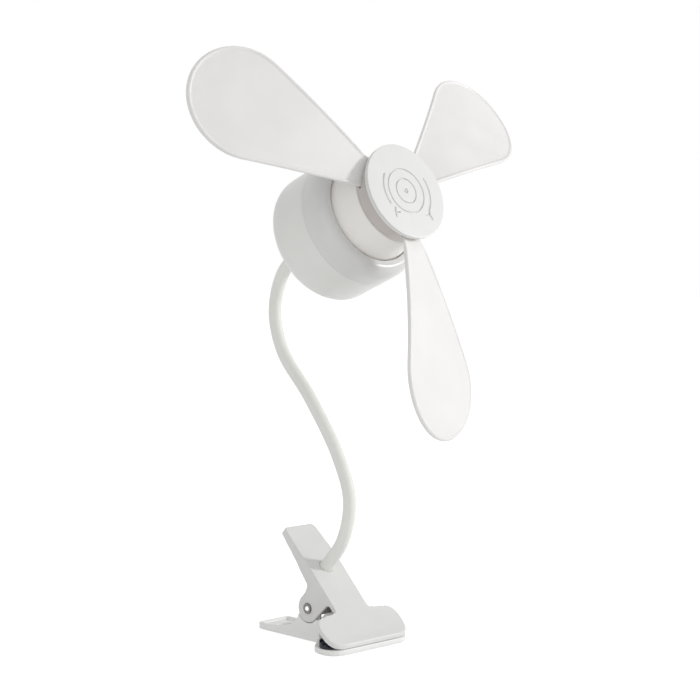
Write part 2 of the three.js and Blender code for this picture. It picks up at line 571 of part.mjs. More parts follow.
function neckFerrule() {
  const bore = NECK_RADIUS + CLEARANCE;
  const collar = ring(bore, 6.5, -6, -CLEARANCE, 20);
  return join(collar, ring(bore, FERRULE_NECK, -1, 5, 20));
}
function neckTopNut() {
  return rodW(7.6, 0, 0, HEAD_WALL + CLEARANCE, 4.6, 6).subtract(rodW(FERRULE_NECK + CLEARANCE, 0, 0, 0, 6, 20));
}
function rearShell() {
  const rim = SEAM_W - CLEARANCE / 2;
  const middle = HEAD_RADIUS - HEAD_FILLET;
  const cup = revolve([
    [0, 0],
    ...arc(middle, HEAD_FILLET, HEAD_FILLET, -90, 0, 4),
    [HEAD_RADIUS, rim],
    [SHELL_BORE, rim],
    ...arc(middle, HEAD_FILLET, HEAD_FILLET - HEAD_WALL, 0, -90, 2),
    [0, HEAD_WALL],
  ]);
  const bosses = screwPlaces.map(([x, u]) => rodW(3.9, x, u, HEAD_WALL / 2, BOSS_TOP, 10));
  const holes = screwPlaces.flatMap(([x, u]) => [rodW(2.8, x, u, -1, 3, 10), rodW(SCREW_HOLE, x, u, 1, BOSS_TOP + 1, 8)]);
  const leds = ledPlaces.map((x) => rodW(1.1, x, LED_U, -1, HEAD_WALL + 1, 8));
  const port = sheet(slotOutline(0, PORT_U, PORT_WIDTH + 2 * CLEARANCE, PORT_HEIGHT + 2 * CLEARANCE), -1, HEAD_WALL + 1);
  const button = rodW(BUTTON_RADIUS + CLEARANCE, 0, BUTTON_U, -1, HEAD_WALL + 1, 20);
  const neck = rodW(FERRULE_NECK + CLEARANCE, 0, 0, -1, HEAD_WALL + 1, 20);
  return cut(join(cup, ...bosses), ...holes, ...leds, port, button, neck);
}
function frontBezel() {
  const seam = SEAM_W + CLEARANCE / 2;
  const middle = HEAD_RADIUS - BEZEL_FILLET;
  const hole = TURRET_RADIUS + CLEARANCE;
  const plate = BEZEL_PLATE_W;
  const tongue = SHELL_BORE - CLEARANCE;
  return revolve([
    [HEAD_RADIUS, seam],
    ...arc(middle, BEZEL_W - BEZEL_FILLET, BEZEL_FILLET, 0, 90, 3),
    [hole, BEZEL_W - 0.8],
    [hole, plate],
    [SHELL_BORE - 2, plate],
    [SHELL_BORE, plate - 2],
    [SHELL_BORE, SEAM_W + 3],
    [tongue - 1.3, SEAM_W + 1.4],
    [tongue - 1.3, SEAM_W - 3],
    [tongue, SEAM_W - 3],
    [tongue, seam],
    [HEAD_RADIUS, seam],
  ]);
}
function motorTurret() {
  const flangeTop = BEZEL_PLATE_W - CLEARANCE;
  const edge = 1.5;
  const inner = TURRET_TOP_RADIUS - TURRET_WALL;
  return revolve([
    [6, TURRET_TOP_W],
    ...arc(TURRET_TOP_RADIUS - edge, TURRET_TOP_W - edge, edge, 90, 10, 3),
    [TURRET_RADIUS, TURRET_FOOT_W],
    [TURRET_RADIUS, flangeTop],
    [TURRET_RADIUS + 3.3, flangeTop],
    [TURRET_RADIUS + 3.3, FLANGE_W],
    [TURRET_RADIUS - TURRET_WALL, FLANGE_W],
    [inner, TURRET_TOP_W - TURRET_WALL],
    [6, TURRET_TOP_W - TURRET_WALL],
    [6, TURRET_TOP_W],
  ]);
}
function chassisPlate() {
  const disc = rodW(SHELL_BORE - 1.9, 0, 0, CHASSIS_W, CHASSIS_TOP, 32);
  const wall = ring(TURRET_RADIUS + 0.8, TURRET_RADIUS + 2.4, CHASSIS_TOP - 0.5, FLANGE_W - CLEARANCE);
  const posts = screwPlaces.map(([x, u]) => rodW(3.2, x, u, BOSS_TOP + CLEARANCE, CHASSIS_W + 1, 10));
  const pilots = screwPlaces.map(([x, u]) => rodW(SCREW_HOLE, x, u, 0, CHASSIS_W - 3, 8));
  const saddles = [-0.3, 0.3].map((share) => share * CELL_LENGTH).map((x) => block(at(x - 1.5, -CELL_RADIUS - 2, CELL_W + 2), at(x + 1.5, CELL_RADIUS + 2, CHASSIS_W + 1)));
  const cellRoom = rodX(CELL_RADIUS + CLEARANCE, -CELL_LENGTH / 2, CELL_LENGTH / 2, 0, CELL_W, 24);
  return cut(join(disc, wall, ...posts, ...saddles), cellRoom, ...pilots);
}
function batteryCell() {
  const half = CELL_LENGTH / 2;
  const profile = [[0, -half], [CELL_RADIUS, -half], [CELL_RADIUS, half - 1.2], [4, half - 1.2], [4, half], [0, half]];
  const points = profile.map(([r, w]) => new THREE.Vector2(r, w));
  return solid(new THREE.LatheGeometry(points, 20).rotateZ(-Math.PI / 2).translate(0, 0, CELL_W));
}
function circuitBoard() {
  const board = ring(9, SHELL_BORE - 5.2, BOARD_W, BOARD_W + BOARD_THICKNESS, 24);
  return cut(board, ...screwPlaces.map(([x, u]) => rodW(3.2 + CLEARANCE, x, u, 0, 10, 10)));
}
function usbPort() {
  const end = BOARD_W - CLEARANCE;
  const outer = sheet(slotOutline(0, PORT_U, PORT_WIDTH, PORT_HEIGHT), 0.4, end, 5);
  const inner = sheet(slotOutline(0, PORT_U, PORT_WIDTH - 0.7, PORT_HEIGHT - 0.7), 0, end - 0.5, 5);
  const tongue = block(at(-3.3, PORT_U - 0.35, 1), at(3.3, PORT_U + 0.35, end - 0.2));
  return join(outer.subtract(inner), tongue);
}
function tactSwitch() {
  const top = HEAD_WALL + 1 + BUTTON_TRAVEL;
  const body = block(at(-3, BUTTON_U - 3, top + 0.9), at(3, BUTTON_U + 3, BOARD_W - CLEARANCE));
  return join(body, rodW(1.5, 0, BUTTON_U, top + 0.1, top + 1.2, 16));
}
function powerButton() {
  const crown = revolve([
    [0, -1],
    ...arc(BUTTON_RADIUS - 0.8, -0.2, 0.8, -90, 0, 3),
    [BUTTON_RADIUS, HEAD_WALL + CLEARANCE],
    [BUTTON_RADIUS + 1.2, HEAD_WALL + CLEARANCE],
    [BUTTON_RADIUS + 1.2, HEAD_WALL + 0.9],
    [0, HEAD_WALL + 0.9],
  ], 20);
  return crown.translate([0, BUTTON_U, 0]);
}
function indicatorLens() {
  const half = (LEDS * LED_PITCH) / 2;
  const strip = block(at(-half, LED_U - 1.2, HEAD_WALL + CLEARANCE), at(half, LED_U + 1.2, HEAD_WALL + 1.4));
  return join(strip, ...ledPlaces.map((x) => rodW(0.8, x, LED_U, 0.1, HEAD_WALL + 1, 8)));
}
function caseScrew([x, u]) {
  return join(rodW(2.4, x, u, 0.7, 2.7, 10), rodW(SCREW_RADIUS, x, u, 2, 17, 6));
}

// The brushed motor behind the turret's front wall.
const MOTOR_FRONT = TURRET_TOP_W - TURRET_WALL - CLEARANCE;
const MOTOR_BACK = MOTOR_FRONT - MOTOR_LENGTH;
const BUSHING_RADIUS = 3;
const CAN_BORE = MOTOR_RADIUS - 1;
function motorCan() {
  return revolve([
    [BUSHING_RADIUS + CLEARANCE, MOTOR_FRONT],
    [MOTOR_RADIUS - 1, MOTOR_FRONT],
    [MOTOR_RADIUS, MOTOR_FRONT - 1],
    [MOTOR_RADIUS, MOTOR_BACK],
    [CAN_BORE, MOTOR_BACK],
    [CAN_BORE, MOTOR_FRONT - 1.2],
    [BUSHING_RADIUS + CLEARANCE, MOTOR_FRONT - 1.2],
    [BUSHING_RADIUS + CLEARANCE, MOTOR_FRONT],
  ], 20);
}
const motorEndCap = () => ring(BUSHING_RADIUS + CLEARANCE, CAN_BORE - CLEARANCE, MOTOR_BACK, MOTOR_BACK + 2, 20);
const magnetRing = () => ring(9.9, CAN_BORE - CLEARANCE, MOTOR_BACK + 4.6, MOTOR_FRONT - 3, 20);
const bushing = (w0, w1) => ring(SHAFT_BORE, BUSHING_RADIUS, w0, w1, 14);

// ---------------------------------------------------------------- rotor
const PEG_RADIUS = 1.3;
const PEG_PLACES = [DRUM_BORE - 7, DRUM_BORE - 3];
const HOOKS = 3;
const HOOK_ANGLE = -15; // from the middle between two blades
const SLOT_LAP = 0.35;
const bladeAngle = (number) => FIRST_BLADE_ANGLE + (number * 360) / BLADES;
const WIDEST_R = BLADE_REACH - BLADE_TIP_LENGTH;

// The blade's plan: an ellipse at the tip, and two straight edges that meet it smoothly.
const TANGENT = (() => {
  let best = null;
  for (let angle = 0; angle < 90; angle += 0.1) {
    const r = WIDEST_R - BLADE_TIP_LENGTH * Math.sin(rad(angle));
    const half = BLADE_TIP_HALF_WIDTH * Math.cos(rad(angle));
    const slope = (half - BLADE_ROOT_HALF_WIDTH) / (r - BLADE_ROOT_R);
    if (!best || slope > best.slope) best = { angle, r, slope };
  }
  return best;
})();
const taper = (r) => BLADE_ROOT_HALF_WIDTH + TANGENT.slope * (r - BLADE_ROOT_R);

// How far a point of the blade lies inside its edge.
function edgeDistance(r, c) {
  const lengthwise = (r - WIDEST_R) / BLADE_TIP_LENGTH;
  const reach = Math.hypot(lengthwise, c / BLADE_TIP_HALF_WIDTH);
  const fromTip = (1 - reach) * Math.min(BLADE_TIP_LENGTH, BLADE_TIP_HALF_WIDTH);
  return r < TANGENT.r ? taper(r) - Math.abs(c) : Math.max(0, fromTip);
}
function bladeThickness(r, c) {
  const inner = THREE.MathUtils.smoothstep(r, HUB_RADIUS + 1, HUB_RADIUS + 7);
  const bead = THREE.MathUtils.lerp(BLADE_THICKNESS, BLADE_BEAD, inner);
  const d = edgeDistance(r, c);
  if (d < 0.6) return THREE.MathUtils.lerp(0.55 * bead, bead, d / 0.6);
  return THREE.MathUtils.lerp(bead, BLADE_THICKNESS, THREE.MathUtils.clamp((d - 1.4) / 0.8, 0, 1));
}
function bladePoint(r, c, side) {
  const along = (r - BLADE_ROOT_R) / (BLADE_REACH - BLADE_ROOT_R);
  const pitch = rad(THREE.MathUtils.lerp(BLADE_ROOT_PITCH, BLADE_TIP_PITCH, along));
  const lift = (side * bladeThickness(r, c)) / 2;
  return [
    r,
    c * Math.cos(pitch) - lift * Math.sin(pitch),
    BLADE_W - BLADE_DROOP * along * along + c * Math.sin(pitch) + lift * Math.cos(pitch),
  ];
}
// Rows run from root to tip, as [radius, half width].
function bladeRows() {
  const rows = [];
  const straight = 8;
  const round = 9;
  for (let i = 0; i < straight; i += 1) {
    const r = THREE.MathUtils.lerp(BLADE_ROOT_R, TANGENT.r, i / straight);
    rows.push([r, taper(r)]);
  }
  for (let i = 0; i <= round; i += 1) {
    const angle = rad(THREE.MathUtils.lerp(-TANGENT.angle, 90, i / round));
    rows.push([WIDEST_R + BLADE_TIP_LENGTH * Math.sin(angle), BLADE_TIP_HALF_WIDTH * Math.cos(angle)]);
  }
  return rows;
}
function bladeColumns(half) {
  const steps = [0, 0.8, 2.2];
  const least = [1, 0.88, 0.72];
  const outer = steps.map((d, i) => Math.max(half - d, half * least[i]));
  const right = [...outer, half * 0.5];
  return [...right.map((c) => -c), 0, ...right.reverse()];
}
function blade(number) {
  const positions = [];
  const quad = (a, b, c, d) => positions.push(...a, ...b, ...c, ...a, ...c, ...d);
  const grids = [-1, 1].map((side) => bladeRows().map(([r, half]) => bladeColumns(half).map((c) => bladePoint(r, c, side))));
  const [under, over] = grids;
  const columns = under[0].length - 1;
  for (let i = 0; i < under.length - 1; i += 1) {
    for (let j = 0; j < columns; j += 1) {
      quad(over[i][j], over[i + 1][j], over[i + 1][j + 1], over[i][j + 1]);
      quad(under[i][j + 1], under[i + 1][j + 1], under[i + 1][j], under[i][j]);
    }
    quad(under[i][0], under[i + 1][0], over[i + 1][0], over[i][0]);
    quad(over[i][columns], over[i + 1][columns], under[i + 1][columns], under[i][columns]);
  }
  const last = under.length - 1;
  for (let j = 0; j < columns; j += 1) {
    quad(under[0][j], over[0][j], over[0][j + 1], under[0][j + 1]);
    quad(under[last][j + 1], over[last][j + 1], over[last][j], under[last][j]);
  }
  const geometry = new THREE.BufferGeometry();
  geometry.setAttribute("position", new THREE.Float32BufferAttribute(positions, 3));
  const pegHoles = PEG_PLACES.map((r) => rodW(PEG_RADIUS + CLEARANCE, r, 0, HUB_W, CAP_W, 10));
  return cut(solid(geometry), ...pegHoles).rotate([0, 0, bladeAngle(number)]);
}

// A wedge about the axis, for cutting an arc out of a ring.
function sector(middle, width, reach, w0, w1) {
  const corner = (angle) => new THREE.Vector2(reach * Math.cos(rad(angle)), reach * Math.sin(rad(angle)));
  const shape = new THREE.Shape([new THREE.Vector2(0, 0), corner(middle - width / 2), corner(middle), corner(middle + width / 2)]);
  return sheet(shape, w0, w1);
}
const arcPiece = (r0, r1, w0, w1, middle, width) => ring(r0, r1, w0, w1).intersect(sector(middle, width, 2 * r1, w0 - 1, w1 + 1));
const hookAngles = Array.from({ length: HOOKS }, (_, i) => bladeAngle(i) + 180 / BLADES + HOOK_ANGLE);

function bladeSlot(number) {
  const half = taper(HUB_RADIUS) + SLOT_LAP;
  const depth = BLADE_THICKNESS / 2 + SLOT_LAP;
  const slot = block(at(DRUM_BORE - 3, -half, -depth), at(HUB_RADIUS + 2, half, depth));
  const along = (HUB_RADIUS - BLADE_ROOT_R) / (BLADE_REACH - BLADE_ROOT_R);
  const pitch = THREE.MathUtils.lerp(BLADE_ROOT_PITCH, BLADE_TIP_PITCH, along);
  return slot.rotate([pitch, 0, 0]).translate([0, 0, BLADE_W]).rotate([0, 0, bladeAngle(number)]);
}
function hubDrum() {
  const floor = HUB_W + DRUM_FLOOR;
  const boss = SHAFT_BORE + 2.4;
  const drum = revolve([
    [SHAFT_BORE, HUB_W],
    [HUB_RADIUS, HUB_W],
    [HUB_RADIUS, DRUM_TOP],
    [DRUM_BORE, DRUM_TOP],
    [DRUM_BORE, floor],
    [boss, floor],
    [boss, DRUM_TOP - 0.6],
    [SHAFT_BORE, DRUM_TOP - 0.6],
    [SHAFT_BORE, HUB_W],
  ]);
  const ledges = hookAngles.map((a) => arcPiece(DRUM_BORE - 1, DRUM_BORE + 1, DRUM_TOP - 2.3, DRUM_TOP - 1, a, 16));
  const numbers = Array.from({ length: BLADES }, (_, i) => i);
  const pegs = numbers.flatMap((i) => PEG_PLACES.map((r) => rodW(PEG_RADIUS, r, 0, floor - 1, DRUM_TOP - 0.5, 8).rotate([0, 0, bladeAngle(i)])));
  return cut(join(drum, ...ledges, ...pegs), ...numbers.map(bladeSlot));
}
function hubCap() {
  const grooveDepth = 0.5;
  const grooveHalf = 0.35;
  const rings = [7, 12.6];
  const low = CAP_W - grooveDepth;
  const profile = [[0, low], [0.8, low], [0.8, CAP_W]];
  rings.forEach((r) => profile.push([r - grooveHalf, CAP_W], [r - grooveHalf, low], [r + grooveHalf, low], [r + grooveHalf, CAP_W]));
  const disc = revolve([...profile, ...arc(CAP_RADIUS - 0.6, CAP_W - 0.6, 0.6, 90, 0, 3), [CAP_RADIUS, CAP_BACK], [0, CAP_BACK]], 20);
  const leftMark = arcPiece(15.5 - grooveHalf, 15.5 + grooveHalf, low, CAP_W + 1, 173, 60);
  const rightMark = arcPiece(17.4 - grooveHalf, 17.4 + grooveHalf, low, CAP_W + 1, -8.5, 65);
  const legs = hookAngles.map((a) => arcPiece(DRUM_BORE - 3, DRUM_BORE - 1.4, DRUM_TOP - 4.1, CAP_BACK + 0.5, a, 12));
  const feet = hookAngles.map((a) => arcPiece(DRUM_BORE - 2, DRUM_BORE - CLEARANCE, DRUM_TOP - 4.1, DRUM_TOP - 2.7, a, 12));
  return cut(join(disc, ...legs, ...feet), leftMark, rightMark);
}
function armature() {
  const poles = 5;
  const core = ring(SHAFT_BORE, 9.4, MOTOR_BACK + 5.6, MOTOR_FRONT - 4, 20);
  const turn = (body, i) => body.rotate([0, 0, (i * 360) / poles]);
  const gaps = Array.from({ length: poles }, (_, i) => {
    const pocket = rodW(2.1, 6.3, 0, MOTOR_BACK, MOTOR_FRONT, 8);
    const mouth = block(at(6, -0.5, MOTOR_BACK), at(10, 0.5, MOTOR_FRONT));
    return turn(join(pocket, mouth), i);
  });
  return cut(core, ...gaps);
}

// ---------------------------------------------------------------- assembly
const fan = new THREE.Group();
fan.add(
  part("lower_jaw", lowerJaw(), WHITE_SATIN),
  part("upper_jaw", upperJaw(), WHITE_SATIN),
  part("lower_pad", lowerPad(), PAD_RUBBER),
  part("upper_pad", upperPad(), PAD_RUBBER),
  part("hinge_pin", hingePin(), STEEL),
  part("torsion_spring", torsionSpring(), STEEL),
  part("neck_base_nut", neckBaseNut(), BRASS),
);
["base", "lower", "upper", "top"].forEach((name, i) => {
  fan.add(part(`neck_sleeve_${name}`, neckSleeve(i), SILICONE));
  fan.add(part(`neck_core_${name}`, neckCore(i), STEEL));
});

const head = new THREE.Group();
head.position.set(0, HEAD_Y, HEAD_Z);
head.rotation.x = rad(90 - FAN_TILT);
head.add(
  part("neck_ferrule", neckFerrule(), STEEL),
  part("neck_top_nut", neckTopNut(), BRASS),
  part("rear_shell", rearShell(), WHITE_SATIN),
  part("front_bezel", frontBezel(), WHITE_SATIN),
  part("motor_turret", motorTurret(), WHITE_SATIN),
  part("chassis_plate", chassisPlate(), DARK_PLASTIC),
  part("battery_cell", batteryCell(), CELL_SLEEVE),
  part("circuit_board", circuitBoard(), BOARD_GREEN),
  part("usb_port", usbPort(), STEEL),
  part("tact_switch", tactSwitch(), DARK_PLASTIC),
  part("power_button", powerButton(), WHITE_SATIN),
  part("indicator_lens", indicatorLens(), LENS),
  part("motor_can", motorCan(), STEEL),
  part("motor_end_cap", motorEndCap(), DARK_PLASTIC),
  part("magnet_ring", magnetRing(), FERRITE),
  part("front_bushing", bushing(MOTOR_FRONT - 2, TURRET_TOP_W - 0.6), BRASS),
  part("rear_bushing", bushing(MOTOR_BACK - 0.8, MOTOR_BACK + 2.8), BRASS),
  part("motor_shaft", rodW(SHAFT_RADIUS, 0, 0, MOTOR_BACK - 1.2, DRUM_TOP - 0.8, 16), STEEL),
  part("armature", armature(), STEEL),
  part("commutator", ring(SHAFT_BORE, 3, MOTOR_BACK + 3.2, MOTOR_BACK + 5.2, 16), BRASS),
  part("hub_drum", hubDrum(), HUB_GREY),
  part("hub_cap", hubCap(), WHITE_SATIN),
);
screwPlaces.forEach((spot, i) => head.add(part(`case_screw_${i + 1}`, caseScrew(spot), STEEL)));
for (let i = 0; i < BLADES; i += 1) head.add(part(`blade_${i + 1}`, blade(i), BLADE_SOFT));
fan.add(head);

export default fan;
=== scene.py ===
# %% [markdown]
# # A clip fan, dressed around its frame
# The frame is the imported model: every solid already sits in its place, in metres.
# This lesson puts the visible surfaces over it: soft-edged mouldings, blades, neck and rivet.

import json
import math

import bmesh
import bpy
from mathutils import Matrix, Vector


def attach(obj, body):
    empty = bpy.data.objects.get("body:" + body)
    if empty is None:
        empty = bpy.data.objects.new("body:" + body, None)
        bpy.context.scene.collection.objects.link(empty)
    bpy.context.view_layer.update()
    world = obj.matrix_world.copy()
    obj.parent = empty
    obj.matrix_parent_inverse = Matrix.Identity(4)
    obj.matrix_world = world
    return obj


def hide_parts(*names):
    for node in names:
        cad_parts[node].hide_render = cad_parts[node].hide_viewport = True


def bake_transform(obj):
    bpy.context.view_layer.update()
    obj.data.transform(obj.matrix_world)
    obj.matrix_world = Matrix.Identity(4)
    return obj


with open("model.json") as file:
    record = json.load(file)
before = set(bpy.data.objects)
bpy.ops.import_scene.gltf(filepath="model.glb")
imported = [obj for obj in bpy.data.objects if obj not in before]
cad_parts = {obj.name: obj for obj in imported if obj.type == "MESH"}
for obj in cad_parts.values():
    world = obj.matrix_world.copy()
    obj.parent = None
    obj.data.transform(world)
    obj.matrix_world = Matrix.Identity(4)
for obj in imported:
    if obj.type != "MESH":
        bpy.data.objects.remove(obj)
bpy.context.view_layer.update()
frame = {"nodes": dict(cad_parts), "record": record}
print("frame nodes:", len(frame["nodes"]))

# %% [markdown]
# ## Camera and light
# A long lens at a metre gives the flat perspective of a product picture.
# It stands well to the left of the fan's front and looks slightly down.
# A small lamp from the right, a broad weak one from the left and an even, pale surround
# light a white object without washing it out: the surround is dimmer for the surfaces
# than it looks to the camera, so that white stays a colour.

# %% Camera
CAMERA_TURN = math.radians(-43.73)
CAMERA_RISE = math.radians(4.0)
CAMERA_DISTANCE = 1.0
CAMERA_LENS = 93.03
SENSOR_WIDTH = 36
CAMERA_TARGET = Vector((0, 0.00528, 0.16434))


def new_object(name, data):
    piece = bpy.data.objects.new(name, data)
    bpy.context.scene.collection.objects.link(piece)
    return piece


flatness = math.cos(CAMERA_RISE)
backwards = Vector(
    (math.sin(CAMERA_TURN) * flatness, -math.cos(CAMERA_TURN) * flatness, math.sin(CAMERA_RISE))
)
camera_data = bpy.data.cameras.new("camera")
camera_data.sensor_width = SENSOR_WIDTH
camera_data.lens = CAMERA_LENS
camera = new_object("camera", camera_data)
camera.location = CAMERA_TARGET + CAMERA_DISTANCE * backwards
camera.rotation_euler = backwards.to_track_quat("Z", "Y").to_euler()
bpy.context.scene.camera = camera
bpy.context.scene.view_settings.view_transform = "Standard"
print("camera at", [round(v, 3) for v in camera.location])


# %% Lamps
def add_lamp(name, direction, distance, size, watts):
    data = bpy.data.lights.new(name, "AREA")
    data.shape = "DISK"
    data.size = size
    data.energy = watts
    lamp = new_object(name, data)
    away = Vector(direction).normalized()
    lamp.location = CAMERA_TARGET + away * distance
    lamp.rotation_euler = away.to_track_quat("Z", "Y").to_euler()
    print("lamp:", name)


add_lamp("key", (1.0, -0.96, 0.44), distance=1.6, size=0.24, watts=10.5)
add_lamp("fill", (-1.0, -0.5, 0.15), distance=1.8, size=1.4, watts=3.0)

# %% Surround
SURROUND_LIGHT = 0.64


def any_of(tree, first, second):
    add = tree.nodes.new("ShaderNodeMath")
    add.operation = "MAXIMUM"
    tree.links.new(first, add.inputs[0])
    tree.links.new(second, add.inputs[1])
    return add.outputs[0]


def seen_directly(tree):
    """1 for rays that come from the camera, a mirror-like gloss or through glass."""
    rays = tree.nodes.new("ShaderNodeLightPath").outputs
    glossy = any_of(tree, rays["Is Camera Ray"], rays["Is Glossy Ray"])
    return any_of(tree, glossy, rays["Is Transmission Ray"])


world = bpy.data.worlds.new("surround")
bpy.context.scene.world = world
world.use_nodes = True
surround = world.node_tree
background = surround.nodes["Background"]
background.inputs["Color"].default_value = (1, 1, 1, 1)
strength = surround.nodes.new("ShaderNodeMapRange")
strength.inputs["To Min"].default_value = SURROUND_LIGHT
strength.inputs["To Max"].default_value = 1.0
surround.links.new(seen_directly(surround), strength.inputs["Value"])
surround.links.new(strength.outputs["Result"], background.inputs["Strength"])
print("surround light:", SURROUND_LIGHT)

# %% Floor
FLOOR_SIZE = 8.0
FLOOR_DROP = 0.0003
FLOOR_WHITE = 0.92
FLOOR_ROUGHNESS = 0.9
FLOOR_GLOW = 0.55
edge = FLOOR_SIZE / 2
floor_mesh = bpy.data.meshes.new("floor")
floor_corners = [(-edge, -edge, 0), (edge, -edge, 0), (edge, edge, 0), (-edge, edge, 0)]
floor_mesh.from_pydata(floor_corners, [], [(0, 1, 2, 3)])
floor = new_object("floor", floor_mesh)
floor.location.z = -FLOOR_DROP
floor_paint = bpy.data.materials.new("floor_paint")
floor_paint.use_nodes = True
paint = floor_paint.node_tree
floor_shader = paint.nodes["Principled BSDF"]
floor_shader.inputs["Base Color"].default_value = (FLOOR_WHITE, FLOOR_WHITE, FLOOR_WHITE, 1)
floor_shader.inputs["Roughness"].default_value = FLOOR_ROUGHNESS
floor_shader.inputs["Emission Color"].default_value = (1, 1, 1, 1)
glow = paint.nodes.new("ShaderNodeMath")
glow.operation = "MULTIPLY"
glow.inputs[1].default_value = FLOOR_GLOW
paint.links.new(seen_directly(paint), glow.inputs[0])
paint.links.new(glow.outputs[0], floor_shader.inputs["Emission Strength"])
floor_mesh.materials.append(floor_paint)
print("floor of", FLOOR_SIZE, "m")

# %% [markdown]
# ## Finishes
# Every moulding of the fan has a fine skin: a hardly visible mottling, and a spark-eroded grain.
# That effect is one node group, placed in each plastic with its own values.
# Metals get a second group, with short scratches drawn out along one direction.
# Shaders stay in the materials, and a value that is the same all over is set on the shader
# itself.


# %% Group for moulded skin
def new_group(name, inputs):
    """A shader group with these inputs that gives a colour, a roughness and a height."""
    group = bpy.data.node_groups.new(name, "ShaderNodeTree")
    for title, kind, value in inputs:
        socket = group.interface.new_socket(title, in_out="INPUT", socket_type="NodeSocket" + kind)
        if value is not None:
            socket.default_value = value
    for title, kind in (("Colour", "Color"), ("Roughness", "Float"), ("Height", "Float")):
        group.interface.new_socket(title, in_out="OUTPUT", socket_type="NodeSocket" + kind)
    return group, group.nodes.new("NodeGroupInput"), group.nodes.new("NodeGroupOutput")


def noise(tree, vector, scale, detail):
    node = tree.nodes.new("ShaderNodeTexNoise")
    node.inputs["Detail"].default_value = detail
    tree.links.new(vector, node.inputs["Vector"])
    if isinstance(scale, float):
        node.inputs["Scale"].default_value = scale
    else:
        tree.links.new(scale, node.inputs["Scale"])
    return node.outputs["Fac"]


MIX_COLOURS, MIX_RESULT = (6, 7), 2  # the colour sockets of a Mix node, by number


def mixed(tree, share, first, second):
    node = tree.nodes.new("ShaderNodeMix")
    node.data_type = "RGBA"
    tree.links.new(share, node.inputs["Factor"])
    for value, number in zip((first, second), MIX_COLOURS):
        if isinstance(value, tuple):
            node.inputs[number].default_value = value
        else:
            tree.links.new(value, node.inputs[number])
    return node.outputs[MIX_RESULT]


def ranged(tree, value, low, high):
    node = tree.nodes.new("ShaderNodeMapRange")
    tree.links.new(value, node.inputs["Value"])
    tree.links.new(low, node.inputs["To Min"])
    tree.links.new(high, node.inputs["To Max"])
    return node.outputs["Result"]


skin, skin_in, skin_out = new_group(
    "moulded skin",
    [
        ("Vector", "Vector", None),
        ("Colour", "Color", None),
        ("Mottled Colour", "Color", None),
        ("Grain Scale", "Float", 3000.0),
        ("Roughness Low", "Float", 0.4),
        ("Roughness High", "Float", 0.5),
    ],
)
cloud = noise(skin, skin_in.outputs["Vector"], scale=38.0, detail=2.0)
handled = noise(skin, skin_in.outputs["Vector"], scale=160.0, detail=4.0)
grain = noise(skin, skin_in.outputs["Vector"], skin_in.outputs["Grain Scale"], detail=1.0)
colour = mixed(skin, cloud, skin_in.outputs["Colour"], skin_in.outputs["Mottled Colour"])
skin.links.new(colour, skin_out.inputs["Colour"])
low, high = skin_in.outputs["Roughness Low"], skin_in.outputs["Roughness High"]
skin.links.new(ranged(skin, handled, low, high), skin_out.inputs["Roughness"])
skin.links.new(grain, skin_out.inputs["Height"])
print("group:", skin.name)

# %% Group for worked metal
worked, worked_in, worked_out = new_group(
    "worked metal",
    [
        ("Vector", "Vector", None),
        ("Colour", "Color", None),
        ("Dulled Colour", "Color", None),
        ("Roughness Low", "Float", 0.2),
        ("Roughness High", "Float", 0.4),
    ],
)
SCRATCH_SCALE = (60.0, 1400.0, 1400.0)
stretched = worked.nodes.new("ShaderNodeMapping")
stretched.inputs["Scale"].default_value = SCRATCH_SCALE
worked.links.new(worked_in.outputs["Vector"], stretched.inputs["Vector"])
scratches = noise(worked, stretched.outputs["Vector"], scale=1.0, detail=4.0)
tarnish = noise(worked, worked_in.outputs["Vector"], scale=220.0, detail=3.0)
colour = mixed(worked, tarnish, worked_in.outputs["Colour"], worked_in.outputs["Dulled Colour"])
worked.links.new(colour, worked_out.inputs["Colour"])
low, high = worked_in.outputs["Roughness Low"], worked_in.outputs["Roughness High"]
worked.links.new(ranged(worked, scratches, low, high), worked_out.inputs["Roughness"])
worked.links.new(scratches, worked_out.inputs["Height"])
print("group:", worked.name)


# %% The fan's materials
def linear(red, green, blue):
    """A colour given as it looks on screen, 0 to 255, as the renderer counts it."""
    values = [v / 255 for v in (red, green, blue)]
    counted = [v / 12.92 if v <= 0.04045 else ((v + 0.055) / 1.055) ** 2.4 for v in values]
    return (*counted, 1.0)


DULLING = 0.95
SECOND_COLOUR = 2  # number of each group's input for the mottled or dulled colour
GRAIN_HEIGHT = 0.00005


def finish_with(
    name, group, screen_colour, roughness, bump, grain=3000.0, unevenness=0.06, **constants
):
    """A material from one of the groups. Further names are sockets of its shader."""
    material = bpy.data.materials.new(name)
    material.use_nodes = True
    tree = material.node_tree
    shader = tree.nodes["Principled BSDF"]
    surface = tree.nodes.new("ShaderNodeGroup")
    surface.node_tree = group
    where = tree.nodes.new("ShaderNodeTexCoord")
    tree.links.new(where.outputs["Object"], surface.inputs["Vector"])
    duller = tuple(v * DULLING for v in screen_colour)
    surface.inputs["Colour"].default_value = linear(*screen_colour)
    surface.inputs[SECOND_COLOUR].default_value = linear(*duller)
    surface.inputs["Roughness Low"].default_value = roughness - unevenness
    surface.inputs["Roughness High"].default_value = roughness + unevenness
    if "Grain Scale" in surface.inputs:
        surface.inputs["Grain Scale"].default_value = grain
    lift = tree.nodes.new("ShaderNodeBump")
    lift.inputs["Strength"].default_value = bump
    lift.inputs["Distance"].default_value = GRAIN_HEIGHT
    tree.links.new(surface.outputs["Height"], lift.inputs["Height"])
    tree.links.new(lift.outputs["Normal"], shader.inputs["Normal"])
    tree.links.new(surface.outputs["Colour"], shader.inputs["Base Color"])
    tree.links.new(surface.outputs["Roughness"], shader.inputs["Roughness"])
    for title, value in constants.items():
        shader.inputs[title.replace("_", " ")].default_value = value
    return material


